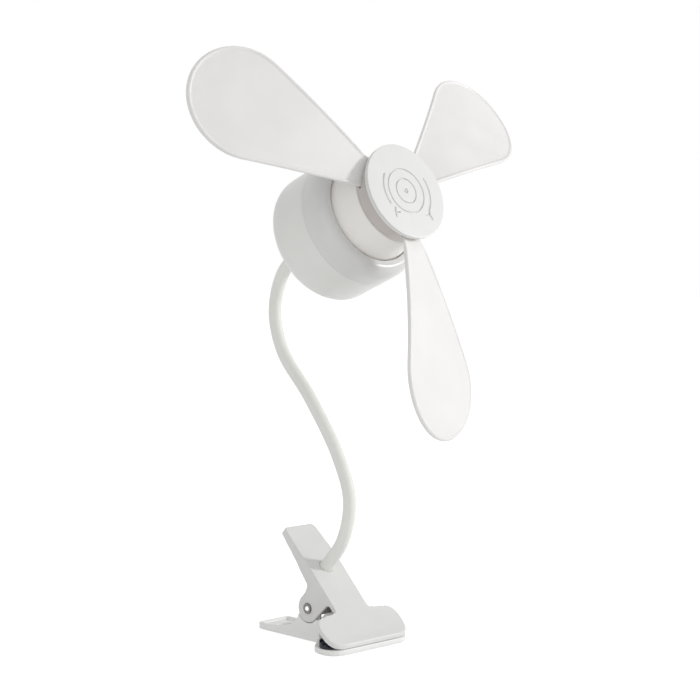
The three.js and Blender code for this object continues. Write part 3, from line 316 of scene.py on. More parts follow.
shell_white = finish_with("shell_white", skin, (233, 233, 230), 0.34, 0.10)
bezel_white = finish_with("bezel_white", skin, (222, 222, 221), 0.3, 0.0, unevenness=0.015)
# The turret's white is a lighter copy of the same white plastic: painted light on its shaded side,
# which the key lamp misses.
turret_cream = finish_with("turret_cream", skin, (246, 243, 239), 0.3, 0.03, unevenness=0.02)
clip_white = finish_with("clip_white", skin, (226, 226, 224), 0.4, 0.12)
# A lighter copy of the clip's white plastic for the lower jaw: painted light, brightening its rim
# and tail.
clip_bright = finish_with("clip_bright", skin, (243, 243, 241), 0.42, 0.12)
cap_white = finish_with("cap_white", skin, (231, 231, 229), 0.34, 0.08)
hub_grey = finish_with("hub_grey", skin, (198, 192, 186), 0.2, 0.02, unevenness=0.03)
silicone = finish_with("pale_silicone", skin, (238, 238, 233), 0.5, 0.12, grain=1800.0)
SOFT = {"Subsurface_Weight": 0.3, "Subsurface_Radius": (1, 1, 1), "Subsurface_Scale": 0.0015}
blade_soft = finish_with("soft_blade", skin, (235, 234, 232), 0.45, 0.12, grain=2200.0, **SOFT)
pad_rubber = finish_with("pad_rubber", skin, (22, 26, 38), 0.7, 0.35, grain=1500.0)
dark_plastic = finish_with("dark_plastic", skin, (40, 40, 42), 0.5, 0.2)
board_green = finish_with("board_green", skin, (38, 96, 62), 0.4, 0.2, grain=900.0)
cell_sleeve = finish_with("cell_sleeve", skin, (70, 122, 152), 0.35, 0.05)
ferrite = finish_with("ferrite", skin, (58, 58, 60), 0.75, 0.4, grain=2500.0)
lamp_lens = finish_with("lamp_lens", skin, (226, 232, 234), 0.2, 0.02, Transmission_Weight=0.35)
steel = finish_with("rivet_steel", worked, (150, 148, 146), 0.28, 0.2, Metallic=1.0)
brass = finish_with("turned_brass", worked, (196, 170, 112), 0.3, 0.2, Metallic=1.0)
print("materials:", len(bpy.data.materials))

# %% The bare frame's finishes
FINISH_OF_SLOT = {
    "shell_white": shell_white,
    "hub_grey": hub_grey,
    "silicone": silicone,
    "blade_soft": blade_soft,
    "pad_rubber": pad_rubber,
    "steel": steel,
    "brass": brass,
    "cell_sleeve": cell_sleeve,
    "board_green": board_green,
    "ferrite": ferrite,
    "dark_plastic": dark_plastic,
    "lens_clear": lamp_lens,
}
slot_of_node = {row["node"]: row["material_slot"] for row in frame["record"]["subparts"]}
for node_name, node in frame["nodes"].items():
    for place in node.material_slots:
        place.material = FINISH_OF_SLOT[slot_of_node[node_name]]
print("finishes:", len(FINISH_OF_SLOT))

# %% [markdown]
# ## Helpers for the pieces
# A finished piece is a plain mesh in place, with its origin at the frame's own.
# `put_on` gives it its finish, its body and the frame nodes that it stands for.

# %% Put a finished piece on its body
MM = 0.001
HEAD_TILT = 22.5
HEAD_BACK = Vector((0, 0.0294, 0.2236))
HEAD_AXIS = Vector((0, -math.cos(math.radians(HEAD_TILT)), math.sin(math.radians(HEAD_TILT))))
HEAD_FRAME = (
    Matrix.Translation(HEAD_BACK)
    @ Matrix.Rotation(math.radians(90 - HEAD_TILT), 4, "X")
    @ Matrix.Scale(MM, 4)
)


def object_from(name, shape):
    """An object from a shape that is being built, which is then freed."""
    mesh = bpy.data.meshes.new(name)
    shape.to_mesh(mesh)
    shape.free()
    return new_object(name, mesh)


def settle(piece):
    """Applies what the modifiers and the object's own place do to the mesh."""
    bpy.context.view_layer.update()
    shown = piece.evaluated_get(bpy.context.evaluated_depsgraph_get())
    made = bpy.data.meshes.new_from_object(shown)
    made.transform(piece.matrix_world)
    piece.modifiers.clear()
    piece.data = made
    piece.matrix_world = Matrix.Identity(4)
    return piece


def put_on(piece, body, slot, finish, *nodes, sharp=35):
    """Finishes a piece. Edges over the sharp angle, in degrees, stay crisp."""
    piece.data.materials.clear()
    piece.data.materials.append(finish)
    piece.data.shade_smooth()
    piece.data.set_sharp_from_angle(angle=math.radians(sharp))
    if body:
        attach(piece, body)
    if nodes:
        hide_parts(*nodes)
    print(piece.name, "faces:", len(piece.data.polygons))
    return piece


# %% [markdown]
# ## Turned shapes
# Housing, turret, drum, button and rivet are round, so each is a profile turned about an axis.
# The profile's corners are eased by short curves, because real mouldings have no knife edges.
# The profile is written in millimetres: distance from the axis, then height along it.


# %% Ease a profile's corners
MOST_OF_A_SIDE = 0.48  # how far an easing may reach along the side next to its corner


def eased(corners, steps):
    """Corners are (radius, height, easing). The first and last stay as they are."""
    out = []
    for i, (radius, height, easing) in enumerate(corners):
        corner = Vector((radius, height))
        if easing <= 0 or i in (0, len(corners) - 1):
            out.append(corner)
            continue
        before = Vector(corners[i - 1][:2]) - corner
        after = Vector(corners[i + 1][:2]) - corner
        reach = easing / math.tan(before.angle(after) / 2)
        start = corner + before.normalized() * min(reach, MOST_OF_A_SIDE * before.length)
        end = corner + after.normalized() * min(reach, MOST_OF_A_SIDE * after.length)
        for k in range(steps + 1):
            t = k / steps
            out.append((1 - t) ** 2 * start + 2 * t * (1 - t) * corner + t * t * end)
    return out


# %% Turn a profile, and cut pieces out of a piece
SAME_PLACE = 1e-6


def turned(name, profile, place, segments):
    """Turns a profile that starts and ends on the axis, or closes on itself."""
    closed = (profile[0] - profile[-1]).length < SAME_PLACE
    rows = profile[:-1] if closed else profile
    shape = bmesh.new()
    rings = []
    for radius, height in rows:
        if radius < SAME_PLACE:
            rings.append([shape.verts.new((0, 0, height))] * segments)
            continue
        angles = [2 * math.pi * i / segments for i in range(segments)]
        around = [(radius * math.cos(a), radius * math.sin(a), height) for a in angles]
        rings.append([shape.verts.new(point) for point in around])
    pairs = list(zip(rings, rings[1:])) + ([(rings[-1], rings[0])] if closed else [])
    for low, high in pairs:
        for i in range(segments):
            j = (i + 1) % segments
            corners = list(dict.fromkeys([low[i], low[j], high[j], high[i]]))
            if len(corners) > 2:
                shape.faces.new(corners)
    bmesh.ops.recalc_face_normals(shape, faces=shape.faces)
    piece = object_from(name, shape)
    piece.data.transform(place)
    return piece


def cut_out(piece, cutters):
    """Cuts the listed pieces out of a piece and removes them."""
    for cutter in cutters:
        cut = piece.modifiers.new("cut", "BOOLEAN")
        cut.operation = "DIFFERENCE"
        cut.solver = "EXACT"
        cut.object = cutter
    settle(piece)
    for cutter in cutters:
        bpy.data.objects.remove(cutter)
    return piece


def round_cutter(radius, x, u):
    """A peg for a round hole in the head's back."""
    low, high = -2, 4
    profile = [Vector(end) for end in ((0, low), (radius, low), (radius, high), (0, high))]
    return turned("cutter", profile, HEAD_FRAME @ Matrix.Translation((x, u, 0)), 32)


def block_cutter(place, size, rounding=0.0, axis=None):
    """A block of this size. A rounding goes on the edges that run along the axis."""
    shape = bmesh.new()
    bmesh.ops.create_cube(shape, size=1.0, matrix=place @ Matrix.Diagonal((*size, 1)))
    if rounding:
        ends = [(e, e.verts[0].co - e.verts[1].co) for e in shape.edges]
        along = [e for e, line in ends if abs(line.normalized().dot(axis)) > 0.9]
        bmesh.ops.bevel(shape, geom=along, offset=rounding, segments=8, affect="EDGES")
    return object_from("cutter", shape)


# %% [markdown]
# ## Head housing
# The round housing is two shells that meet in a seam, with a ring round the motor turret.
# Its back has a button, a charging port, four small lamps and four screws.

# %% Rear shell
HEAD_RADIUS = 37.0
HEAD_WALL = 1.8
SEAM = 30.0
SEAM_GAP = 0.06  # on either side of the seam


def polar(radius, degrees):
    angle = math.radians(degrees)
    return Vector((radius * math.cos(angle), radius * math.sin(angle)))


SCREW_PLACES = [polar(23, a) for a in (35, 145, 215, 325)]
LAMP_PLACES = [(x, -13.5) for x in (-6, -2, 2, 6)]
BUTTON_PLACE = (0, 19)
PORT_PLACE = Matrix.Translation((0, -20, 1))
PORT_SIZE = (9.5, 3.8, 4)

rear_profile = eased(
    [
        (0, 0, 0), (HEAD_RADIUS, 0, 8.5), (HEAD_RADIUS, SEAM - SEAM_GAP, 0.15),
        (HEAD_RADIUS - HEAD_WALL, SEAM - SEAM_GAP, 0.1),
        (HEAD_RADIUS - HEAD_WALL, HEAD_WALL, 7.2), (0, HEAD_WALL, 0),
    ],
    12,
)
rear_shell = turned("rear_shell_skin", rear_profile, HEAD_FRAME, 192)
back_holes = [block_cutter(HEAD_FRAME @ PORT_PLACE, PORT_SIZE, 1.85 * MM, HEAD_AXIS)]
back_holes += [round_cutter(5.1, *BUTTON_PLACE), round_cutter(5.3, 0, 0)]
back_holes += [round_cutter(1.1, x, u) for x, u in LAMP_PLACES]
back_holes += [round_cutter(2.8, x, u) for x, u in SCREW_PLACES]
put_on(cut_out(rear_shell, back_holes), "head", "shell_white", shell_white, "rear_shell")

# %% Bezel and turret
RIM = 45.0
SHOULDER_IN, SHOULDER_UP = 5.6, 8.0
shoulder = []
for i in range(15):
    t = math.radians(90 * i / 14)
    radius = HEAD_RADIUS - SHOULDER_IN * (1 - math.cos(t))
    shoulder.append((radius, RIM - SHOULDER_UP * (1 - math.sin(t)), 0))
bezel_profile = eased(
    [
        (HEAD_RADIUS, SEAM + SEAM_GAP, 0), *shoulder, (28.9, RIM - 0.35, 0.2),
        (28.5, 42.7, 0.2), (32.2, 42.7, 0.5), (34.2, 40.7, 0.5), (34.2, 33, 0.5),
        (32.6, 31.4, 0.3), (32.6, 27, 0.2), (33.9, 27, 0.2), (33.9, SEAM + SEAM_GAP, 0.1),
        (HEAD_RADIUS, SEAM + SEAM_GAP, 0),
    ],
    6,
)
bezel = turned("bezel_skin", bezel_profile, HEAD_FRAME, 192)
put_on(bezel, "head", "shell_white", bezel_white, "front_bezel")

turret_profile = eased(
    [
        (6, 61.4, 0), (25, 61.4, 1.2), (28.2, 44, 0.3), (28.2, 42.4, 0.1),
        (31.5, 42.4, 0.2), (31.5, 41.2, 0.2), (26.2, 41.2, 0.3), (23, 59.4, 0.8),
        (6, 59.4, 0.2), (6, 61.4, 0),
    ],
    5,
)
turret = turned("turret_skin", turret_profile, HEAD_FRAME, 160)
# The turret takes the lighter copy of the white plastic, with its painted light.
put_on(turret, "head", "shell_white", turret_cream, "motor_turret")

# %% Button and ferrule
button_profile = eased(
    [
        (0, -0.75, 0), (2.6, -0.8, 2), (4.8, -1, 0.9), (4.8, 2.1, 0.1), (6, 2.1, 0.1),
        (6, 2.7, 0.1), (0, 2.7, 0),
    ],
    6,
)
button_frame = HEAD_FRAME @ Matrix.Translation((*BUTTON_PLACE, 0))
button = turned("power_button_skin", button_profile, button_frame, 64)
put_on(button, "button", "shell_white", cap_white, "power_button")

ferrule_profile = eased(
    [
        (4.05, -6, 0), (6.5, -6, 0.5), (6.5, -0.3, 0.3), (5, -0.3, 0.1), (5, 5, 0.3),
        (4.05, 5, 0.1), (4.05, -6, 0),
    ],
    4,
)
ferrule = turned("ferrule_skin", ferrule_profile, HEAD_FRAME, 72)
put_on(ferrule, "head", "steel", steel, "neck_ferrule")

# %% [markdown]
# ## Geometry Nodes from plain arithmetic
# A node tree for a rule-shaped surface needs dozens of Math nodes.
# A small class lets the rule be written as ordinary arithmetic, and adds a node for each step.


# %% Write node trees as arithmetic
class Amount:
    """A value inside a node tree that understands + - * / and makes the Math nodes."""

    def __init__(self, tree, socket):
        self.tree = tree
        self.socket = socket

    def step(self, operation, *others):
        node = self.tree.nodes.new("ShaderNodeMath")
        node.operation = operation
        for i, value in enumerate((self, *others)):
            if isinstance(value, Amount):
                self.tree.links.new(value.socket, node.inputs[i])
            else:
                node.inputs[i].default_value = value
        return Amount(self.tree, node.outputs[0])

    def __add__(self, other):
        return self.step("ADD", other)

    def __sub__(self, other):
        return self.step("SUBTRACT", other)

    def __mul__(self, other):
        return self.step("MULTIPLY", other)

    def __truediv__(self, other):
        return self.step("DIVIDE", other)

    def clamp(self):
        return self.step("MAXIMUM", 0.0).step("MINIMUM", 1.0)

    def smooth(self):
        held = self.clamp()
        return held * held * (held * -2.0 + 3.0)

    def towards(self, other, share):
        return self + (other - self) * share


# %% Start, extend and run a tree
def geometry_tree(name, **inputs):
    """A new tree with a geometry output and the named inputs."""
    tree = bpy.data.node_groups.new(name, "GeometryNodeTree")
    tree.interface.new_socket("Geometry", in_out="INPUT", socket_type="NodeSocketGeometry")
    for title, kind in inputs.items():
        title = title.replace("_", " ")
        tree.interface.new_socket(title, in_out="INPUT", socket_type="NodeSocket" + kind)
    tree.interface.new_socket("Geometry", in_out="OUTPUT", socket_type="NodeSocketGeometry")
    return tree, tree.nodes.new("NodeGroupInput"), tree.nodes.new("NodeGroupOutput")


def chain(tree, kind, geometry, **values):
    """Adds a node after the given geometry and returns its first output."""
    node = tree.nodes.new(kind)
    tree.links.new(geometry, node.inputs[0])
    for title, value in values.items():
        socket = node.inputs[title.replace("_", " ")]
        if isinstance(value, bpy.types.NodeSocket):
            tree.links.new(value, socket)
        else:
            socket.default_value = value
    return node.outputs[0]


def run_tree(piece, tree, **values):
    """Runs a tree on a piece with these inputs and keeps the plain mesh."""
    modifier = piece.modifiers.new(tree.name, "NODES")
    modifier.node_group = tree
    for item in tree.interface.items_tree:
        title = item.name.replace(" ", "_")
        if item.in_out == "INPUT" and title in values:
            modifier[item.identifier] = values[title]
    return settle(piece)


# %% [markdown]
# ## Blades
# Each blade is a soft paddle. Its plan is an ellipse met by two straight edges that run in to
# the hub.
# It is pitched less towards the tip, droops backwards, and has a raised bead all round its edge.
# All of that is a rule, so a grid is bent by it twice, for the front and the back, and the two
# are joined. The distance from the edge drives the thickness, which falls to nothing at the very
# edge, so the rim comes out round.

# %% Inputs of the blades' tree
BLADE_NUMBERS = (
    *("Tip_Radius", "Root_Radius", "Root_Half_Width", "Taper", "Taper_End"),
    *("Tip_Half_Width", "Tip_Length", "Root_Pitch", "Tip_Pitch", "Droop"),
    *("Seat", "Membrane", "Bead", "First_Angle"),
)
blade_tree, blade_in, blade_out = geometry_tree(
    "paddle blades", **dict.fromkeys(BLADE_NUMBERS, "Float"), Blades="Int", Finish="Material"
)
named = {socket.name: Amount(blade_tree, socket) for socket in blade_in.outputs}
print("blade inputs:", len(named))

# %% Rule of one blade, all in millimetres
GRID_ALONG, GRID_ACROSS = 110, 64  # points of the grid
EDGE_ROUNDING = 0.95
BEAD_WIDTH, BEAD_FADE = 1.25, 0.9
BEAD_START, BEAD_GROWTH = 26.6, 6.0  # the bead grows in just outside the hub


def coordinates(tree):
    """The X and the Y of each point."""
    position = tree.nodes.new("GeometryNodeInputPosition")
    split = tree.nodes.new("ShaderNodeSeparateXYZ")
    tree.links.new(position.outputs[0], split.inputs[0])
    return Amount(tree, split.outputs["X"]), Amount(tree, split.outputs["Y"])


def joined(tree, *values):
    """A vector from three amounts."""
    join = tree.nodes.new("ShaderNodeCombineXYZ")
    for value, socket in zip(values, join.inputs):
        tree.links.new(value.socket, socket)
    return join.outputs[0]


def blade_face(side):
    """One face of a blade: side is 1 for the front and -1 for the back."""
    grid = blade_tree.nodes.new("GeometryNodeMeshGrid")
    grid.inputs["Size X"].default_value = 1
    grid.inputs["Size Y"].default_value = 2
    grid.inputs["Vertices X"].default_value = GRID_ALONG
    grid.inputs["Vertices Y"].default_value = GRID_ACROSS
    along_grid, across_grid = coordinates(blade_tree)
    tip, root = named["Tip Radius"], named["Root Radius"]
    back = (along_grid + 0.5) * -1.0 + 1.0
    radius = tip - (tip - root) * back * back
    lengthwise = (radius - (tip - named["Tip Length"])) / named["Tip Length"]
    in_taper = radius.step("LESS_THAN", named["Taper End"])
    bow = (lengthwise * lengthwise * -1.0 + 1.0).step("MAXIMUM", 0.0).step("SQRT")
    round_half = named["Tip Half Width"] * bow
    straight_half = named["Root Half Width"] + named["Taper"] * (radius - root)
    half = round_half.towards(straight_half, in_taper)
    chord = half * (across_grid * (math.pi / 2)).step("SINE")
    across = chord / named["Tip Half Width"]
    reach = (lengthwise * lengthwise + across * across).step("SQRT")
    from_round = (reach * -1.0 + 1.0) * named["Tip Half Width"]
    from_side = half - chord.step("ABSOLUTE")
    inside = from_round.towards(from_side, in_taper)
    inside = inside.step("MINIMUM", radius - root).step("MAXIMUM", 0.0)
    rounding = (inside / EDGE_ROUNDING).clamp()
    rounding = (rounding * (rounding * -1.0 + 2.0)).step("SQRT")
    out_of_hub = ((radius - BEAD_START) / BEAD_GROWTH).smooth()
    bead = named["Membrane"].towards(named["Bead"], out_of_hub)
    past_bead = ((inside - BEAD_WIDTH) / BEAD_FADE).smooth()
    thickness = bead.towards(named["Membrane"], past_bead) * rounding
    lift = thickness * (0.5 * side)
    share = (radius - root) / (tip - root)
    pitch = named["Root Pitch"].towards(named["Tip Pitch"], share)
    sideways = chord * pitch.step("COSINE") - lift * pitch.step("SINE")
    drooped = named["Seat"] - named["Droop"] * share * share
    height = drooped + chord * pitch.step("SINE") + lift * pitch.step("COSINE")
    bent = joined(blade_tree, radius, sideways, height)
    face = chain(blade_tree, "GeometryNodeSetPosition", grid.outputs["Mesh"], Position=bent)
    return face if side > 0 else chain(blade_tree, "GeometryNodeFlipFaces", face)


# %% Join the faces, and copy the blade round the hub
SEAM_WIDTH = 0.02
both = blade_tree.nodes.new("GeometryNodeJoinGeometry")
for side in (1, -1):
    blade_tree.links.new(blade_face(side), both.inputs[0])
one_blade = chain(blade_tree, "GeometryNodeMergeByDistance", both.outputs[0], Distance=SEAM_WIDTH)
hub_points = blade_tree.nodes.new("GeometryNodePoints")
blade_tree.links.new(named["Blades"].socket, hub_points.inputs["Count"])
number = Amount(blade_tree, blade_tree.nodes.new("GeometryNodeInputIndex").outputs[0])
turn = named["First Angle"] + number * (2 * math.pi) / named["Blades"]
turn_vector = blade_tree.nodes.new("ShaderNodeCombineXYZ")
blade_tree.links.new(turn.socket, turn_vector.inputs["Z"])
copies = chain(
    blade_tree,
    "GeometryNodeInstanceOnPoints",
    hub_points.outputs[0],
    Instance=one_blade,
    Rotation=turn_vector.outputs[0],
)
realized = chain(blade_tree, "GeometryNodeRealizeInstances", copies)
print("blade tree nodes:", len(blade_tree.nodes))

# %% [markdown]
# Soft blades give under their own weight. Each leans a few millimetres at its tip, by where it
# points: the first number of each pair is for a blade that points level, the second for one that
# points up.

# %% Lean of the soft blades
LEAN_ASIDE = (1.2, -3.2)
LEAN_OUT = (0.2, 0.2)
LEAN_BACK = (2.9, -4.1)
place_x, place_u = coordinates(blade_tree)
from_axis = (place_x * place_x + place_u * place_u).step("SQRT").step("MAXIMUM", 1.0)
level, upright = place_x / from_axis, place_u / from_axis
root, tip = named["Root Radius"], named["Tip Radius"]
out_along = ((from_axis - root) / (tip - root)).clamp()
aside = (level * LEAN_ASIDE[0] + upright * LEAN_ASIDE[1]) * out_along
outwards = (level * LEAN_OUT[0] + upright * LEAN_OUT[1]) * out_along
laid_back = (level * LEAN_BACK[0] + upright * LEAN_BACK[1]) * out_along * out_along
lean = joined(
    blade_tree,
    level * outwards - upright * aside,
    upright * outwards + level * aside,
    laid_back * -1.0,
)
leaning = chain(blade_tree, "GeometryNodeSetPosition", realized, Offset=lean)
dressed = chain(blade_tree, "GeometryNodeSetMaterial", leaning, Material=named["Finish"].socket)
blade_tree.links.new(dressed, blade_out.inputs[0])
print("blade tree nodes:", len(blade_tree.nodes))

# %% Sizes of the blades
TIP_RADIUS = 132.7
TIP_LENGTH = 31.2
TIP_HALF_WIDTH = 30.1
ROOT_RADIUS = 14.0
ROOT_HALF_WIDTH = 5.2
BLADE_SEAT = 66.95  # height of the blades' roots on the fan axis
BLADE_COUNT = 3
FIRST_BLADE = 149.9  # degrees round the fan axis


def tangent_edge():
    """Where the straight edges meet the ellipse, and their slope."""
    best = (0, 0)
    for tenth in range(900):
        angle = math.radians(tenth / 10)
        radius = TIP_RADIUS - TIP_LENGTH - TIP_LENGTH * math.sin(angle)
        rise = TIP_HALF_WIDTH * math.cos(angle) - ROOT_HALF_WIDTH
        best = max(best, (rise / (radius - ROOT_RADIUS), radius))
    return best


taper, taper_end = tangent_edge()
blades = run_tree(
    new_object("blades", bpy.data.meshes.new("blades")),
    blade_tree,
    Tip_Radius=TIP_RADIUS,
    Root_Radius=ROOT_RADIUS,
    Root_Half_Width=ROOT_HALF_WIDTH,
    Taper=taper,
    Taper_End=taper_end,
    Tip_Half_Width=TIP_HALF_WIDTH,
    Tip_Length=TIP_LENGTH,
    Root_Pitch=math.radians(-15.0),
    Tip_Pitch=math.radians(-10.4),
    Droop=15.3,
    Seat=BLADE_SEAT,
    Membrane=1.3,
    Bead=2.5,
    Blades=BLADE_COUNT,
    First_Angle=math.radians(FIRST_BLADE),
    Finish=blade_soft,
)
blades.data.transform(HEAD_FRAME)
put_on(blades, "rotor", "blade_soft", blade_soft, "blade_1", "blade_2", "blade_3", sharp=50)

# %% [markdown]
# ## Hub
# The drum is a grey cup that the blade roots pass into. The cap in front carries two turned
# rings, a centre mark and two engraved arcs with plain arrowheads that show how it turns off.
# The cap's face is a fine round mesh whose points sink wherever an engraved line passes.

# %% Hub drum
HUB_BACK = 62.3
DRUM_TOP = 70.3
drum_profile = eased(
    [
        (1.8, HUB_BACK, 0), (25.6, HUB_BACK, 0.5), (25.6, DRUM_TOP, 0.2),
        (23.6, DRUM_TOP, 0.2), (23.6, 63.6, 0.4), (4.2, 63.6, 0.4), (4.2, 69.7, 0.2),
        (1.8, 69.7, 0.1), (1.8, HUB_BACK, 0),
    ],
    4,
)
drum = turned("hub_drum_skin", drum_profile, HEAD_FRAME, 160)
SLOT_SIZE = (7, 17.9, 1.7)
SLOT_PITCH = math.radians(-15.9)
slots = []
for i in range(BLADE_COUNT):
    angle = math.radians(FIRST_BLADE + 360 / BLADE_COUNT * i)
    out_to_wall = Matrix.Translation((24.5, 0, BLADE_SEAT))
    turned_to = HEAD_FRAME @ (Matrix.Rotation(angle, 4, "Z") @ out_to_wall)
    slots.append(block_cutter(turned_to @ Matrix.Rotation(SLOT_PITCH, 4, "X"), SLOT_SIZE))
put_on(cut_out(drum, slots), "rotor", "hub_grey", hub_grey, "hub_drum")

# %% Engraved lines of the cap
LINE_HALF = 0.45
LINE_DEPTH = 0.8
LINE_EDGE = 0.16
RING_RADII = (0.95, 7.0, 12.6)
ARCS = ((16.0, 143, 206), (17.4, -41, 24))  # radius, and from and to in degrees
STROKES = (  # the arrowheads' lines, each end as radius and degrees
    ((17.4, -41), (18.6, -47)),
    ((18.6, -47), (21.2, -50)),
    ((18.6, -47), (17.2, -54)),
    ((15.2, -141), (17.8, -136)),
    ((17.8, -136), (15.4, -128)),
    ((17.8, -136), (19.4, -131)),
)
STROKE_RADII = (14, 22.5)  # no stroke lies outside these
stroke_ends = [(polar(*start), polar(*end)) for start, end in STROKES]


def engraved(radius, degrees):
    """How near a point of the cap's face is to an engraved line, from 0 to 1."""
    away = min(abs(radius - r) for r in RING_RADII)
    for r, low, high in ARCS:
        middle, spread = (low + high) / 2, (high - low) / 2
        turn = abs((degrees - middle + 180) % 360 - 180)
        beyond = max(0.0, turn - spread) * math.radians(1) * r
        away = min(away, math.hypot(radius - r, beyond))
    if STROKE_RADII[0] < radius < STROKE_RADII[1]:
        point = polar(radius, degrees)
        for start, end in stroke_ends:
            line = end - start
            t = min(1, max(0, (point - start).dot(line) / line.length_squared))
            away = min(away, (point - start - line * t).length)
    depth = min(1, max(0, (LINE_HALF - away) / LINE_EDGE))
    return depth * depth * (3 - 2 * depth)


print("engraved lines:", len(RING_RADII) + len(ARCS) + len(STROKES))

# %% Hub cap
CAP_BACK = 70.6
CAP_FACE = 73.0
CAP_RADIUS = 27.0
cap_radii = [0.2, 2.0, 3.0]
for ring in RING_RADII:
    cap_radii += [ring + k * 0.11 for k in range(-5, 6)]
cap_radii += [14.4 + 0.24 * i for i in range(33)]
cap_radii += [4, 5, 6, 8, 9.3, 10.6, 11.7, 13.5, 23, 24, 25, 26]
cap_profile = [Vector((0, CAP_FACE))] + [Vector((r, CAP_FACE)) for r in sorted(cap_radii)]
cap_profile += eased(
    [
        (26.1, CAP_FACE, 0), (CAP_RADIUS, CAP_FACE, 0.5), (CAP_RADIUS, CAP_FACE - 0.7, 0),
        (CAP_RADIUS - 0.3, CAP_FACE - 0.85, 0), (CAP_RADIUS, CAP_FACE - 1.0, 0),
        (CAP_RADIUS, CAP_BACK, 0.3), (24, CAP_BACK, 0), (0, CAP_BACK, 0),
    ],
    6,
)
cap = turned("hub_cap_skin", cap_profile, Matrix.Identity(4), 360)
for vertex in cap.data.vertices:
    x, u, w = vertex.co
    if w > CAP_FACE - 1e-4:
        depth = LINE_DEPTH * engraved(math.hypot(x, u), math.degrees(math.atan2(u, x)))
        vertex.co.z = w - depth
cap.data.transform(HEAD_FRAME)
put_on(cap, "cap", "shell_white", cap_white, "hub_cap", sharp=60)

# %% [markdown]
# ## Screws and lamps on the back
# Four equal screws and four equal lamp windows repeat, so one of each is made and copied by a
# tree to a handful of points. The copies are made real, because an export keeps no instances.

# %% Copies on points
copy_tree, copy_in, copy_out = geometry_tree(
    "fittings on points", Fitting="Object", Finish="Material"
)
fitting = copy_tree.nodes.new("GeometryNodeObjectInfo")
copy_tree.links.new(copy_in.outputs["Fitting"], fitting.inputs["Object"])
placed = chain(
    copy_tree,
    "GeometryNodeInstanceOnPoints",
    copy_in.outputs["Geometry"],
    Instance=fitting.outputs["Geometry"],
)
made_real = chain(copy_tree, "GeometryNodeRealizeInstances", placed)
painted = chain(copy_tree, "GeometryNodeSetMaterial", made_real, Material=copy_in.outputs["Finish"])
copy_tree.links.new(painted, copy_out.inputs[0])


def copies_at(name, fitting_object, places, finish):
    points = bpy.data.meshes.new(name)
    points.from_pydata([(x, u, 0) for x, u in places], [], [])
    piece = run_tree(new_object(name, points), copy_tree, Fitting=fitting_object, Finish=finish)
    piece.data.transform(HEAD_FRAME)
    bpy.data.objects.remove(fitting_object)
    return piece


# %% Four screws with crossed recesses
screw_profile = eased(
    [(0, 0.75, 0), (2.4, 0.75, 0.5), (2.4, 2.7, 0.1), (1.3, 2.7, 0.1), (1.3, 17, 0.3), (0, 17, 0)],
    4,
)
screw = turned("screw", screw_profile, Matrix.Identity(4), 40)
recess_place = Matrix.Translation((0, 0, 0.9))
cut_out(screw, [block_cutter(recess_place, arm) for arm in ((2.9, 0.6, 1.2), (0.6, 2.9, 1.2))])
screws = copies_at("case_screws", screw, SCREW_PLACES, steel)
put_on(screws, "head", "steel", steel, *[f"case_screw_{i}" for i in (1, 2, 3, 4)])

# %% Four lamp windows
lamp_profile = eased(
    [
        (0, 0.15, 0), (0.85, 0.15, 0.4), (0.85, 2.3, 0.1), (1.25, 2.3, 0.1), (1.25, 3.1, 0.1),
        (0, 3.1, 0),
    ],
    4,
)
one_lamp = turned("lamp", lamp_profile, Matrix.Identity(4), 28)
lamps = copies_at("indicator_lamps", one_lamp, LAMP_PLACES, lamp_lens)
put_on(lamps, "head", "lens_clear", lamp_lens, "indicator_lens")

# %% [markdown]
# ## Gooseneck
# The neck is one pale sleeve on a line that leaves the clip's sloping sheet squarely,
# sways forward, back and forward again, and enters the head along its axis.
# A tree sweeps a round section along the line. The sleeve is made in three lengths that meet
# where the neck is stiff in the model.

# %% Line of the neck
ENTRY = Vector((0, 24.6, 41.0))
INTO_CLIP = Vector((0, math.sqrt(0.5), -math.sqrt(0.5)))
LEAD = 10  # the line is drawn on by this much into the clip and into the head


def on_head_axis(w):
    return HEAD_BACK / MM + HEAD_AXIS * w


NECK_POINTS = [
    ENTRY + INTO_CLIP * LEAD,
    ENTRY,
    Vector((0, 10.9, 57.6)),
    Vector((0, 5.7, 80.7)),
    Vector((0, 15, 104.5)),
    Vector((0, 38.1, 135.7)),
    Vector((0, 61.5, 161.5)),
    Vector((0, 67.9, 184.3)),
    Vector((0, 60.5, 206)),
    Vector((0, 46.5, 217)),
    on_head_axis(0),
    on_head_axis(LEAD),
]


def heading_at(back, here, ahead, before, after):
    """The way a smooth curve goes past the middle one of three points with these gaps."""
    return (here - back) / before - (ahead - back) / (before + after) + (ahead - here) / after


def neck_point(place):
    """A point of the smooth neck line: 3.5 is halfway between the listed points 3 and 4."""
    i = min(int(place), len(NECK_POINTS) - 2)
    t = place - i
    first, last = 2 * NECK_POINTS[0] - NECK_POINTS[1], 2 * NECK_POINTS[-1] - NECK_POINTS[-2]
    before, start, end, beyond = [first, *NECK_POINTS, last][i : i + 4]
    gaps = [math.sqrt((b - a).length) for a, b in ((before, start), (start, end), (end, beyond))]
    leave = heading_at(before, start, end, gaps[0], gaps[1]) * gaps[1]
    arrive = heading_at(start, end, beyond, gaps[1], gaps[2]) * gaps[1]
    square, cube = t * t, t * t * t
    return (
        start * (2 * cube - 3 * square + 1)
        + leave * (cube - 2 * square + t)
        + end * (3 * square - 2 * cube)
        + arrive * (cube - square)
    )


print("neck line points:", len(NECK_POINTS))

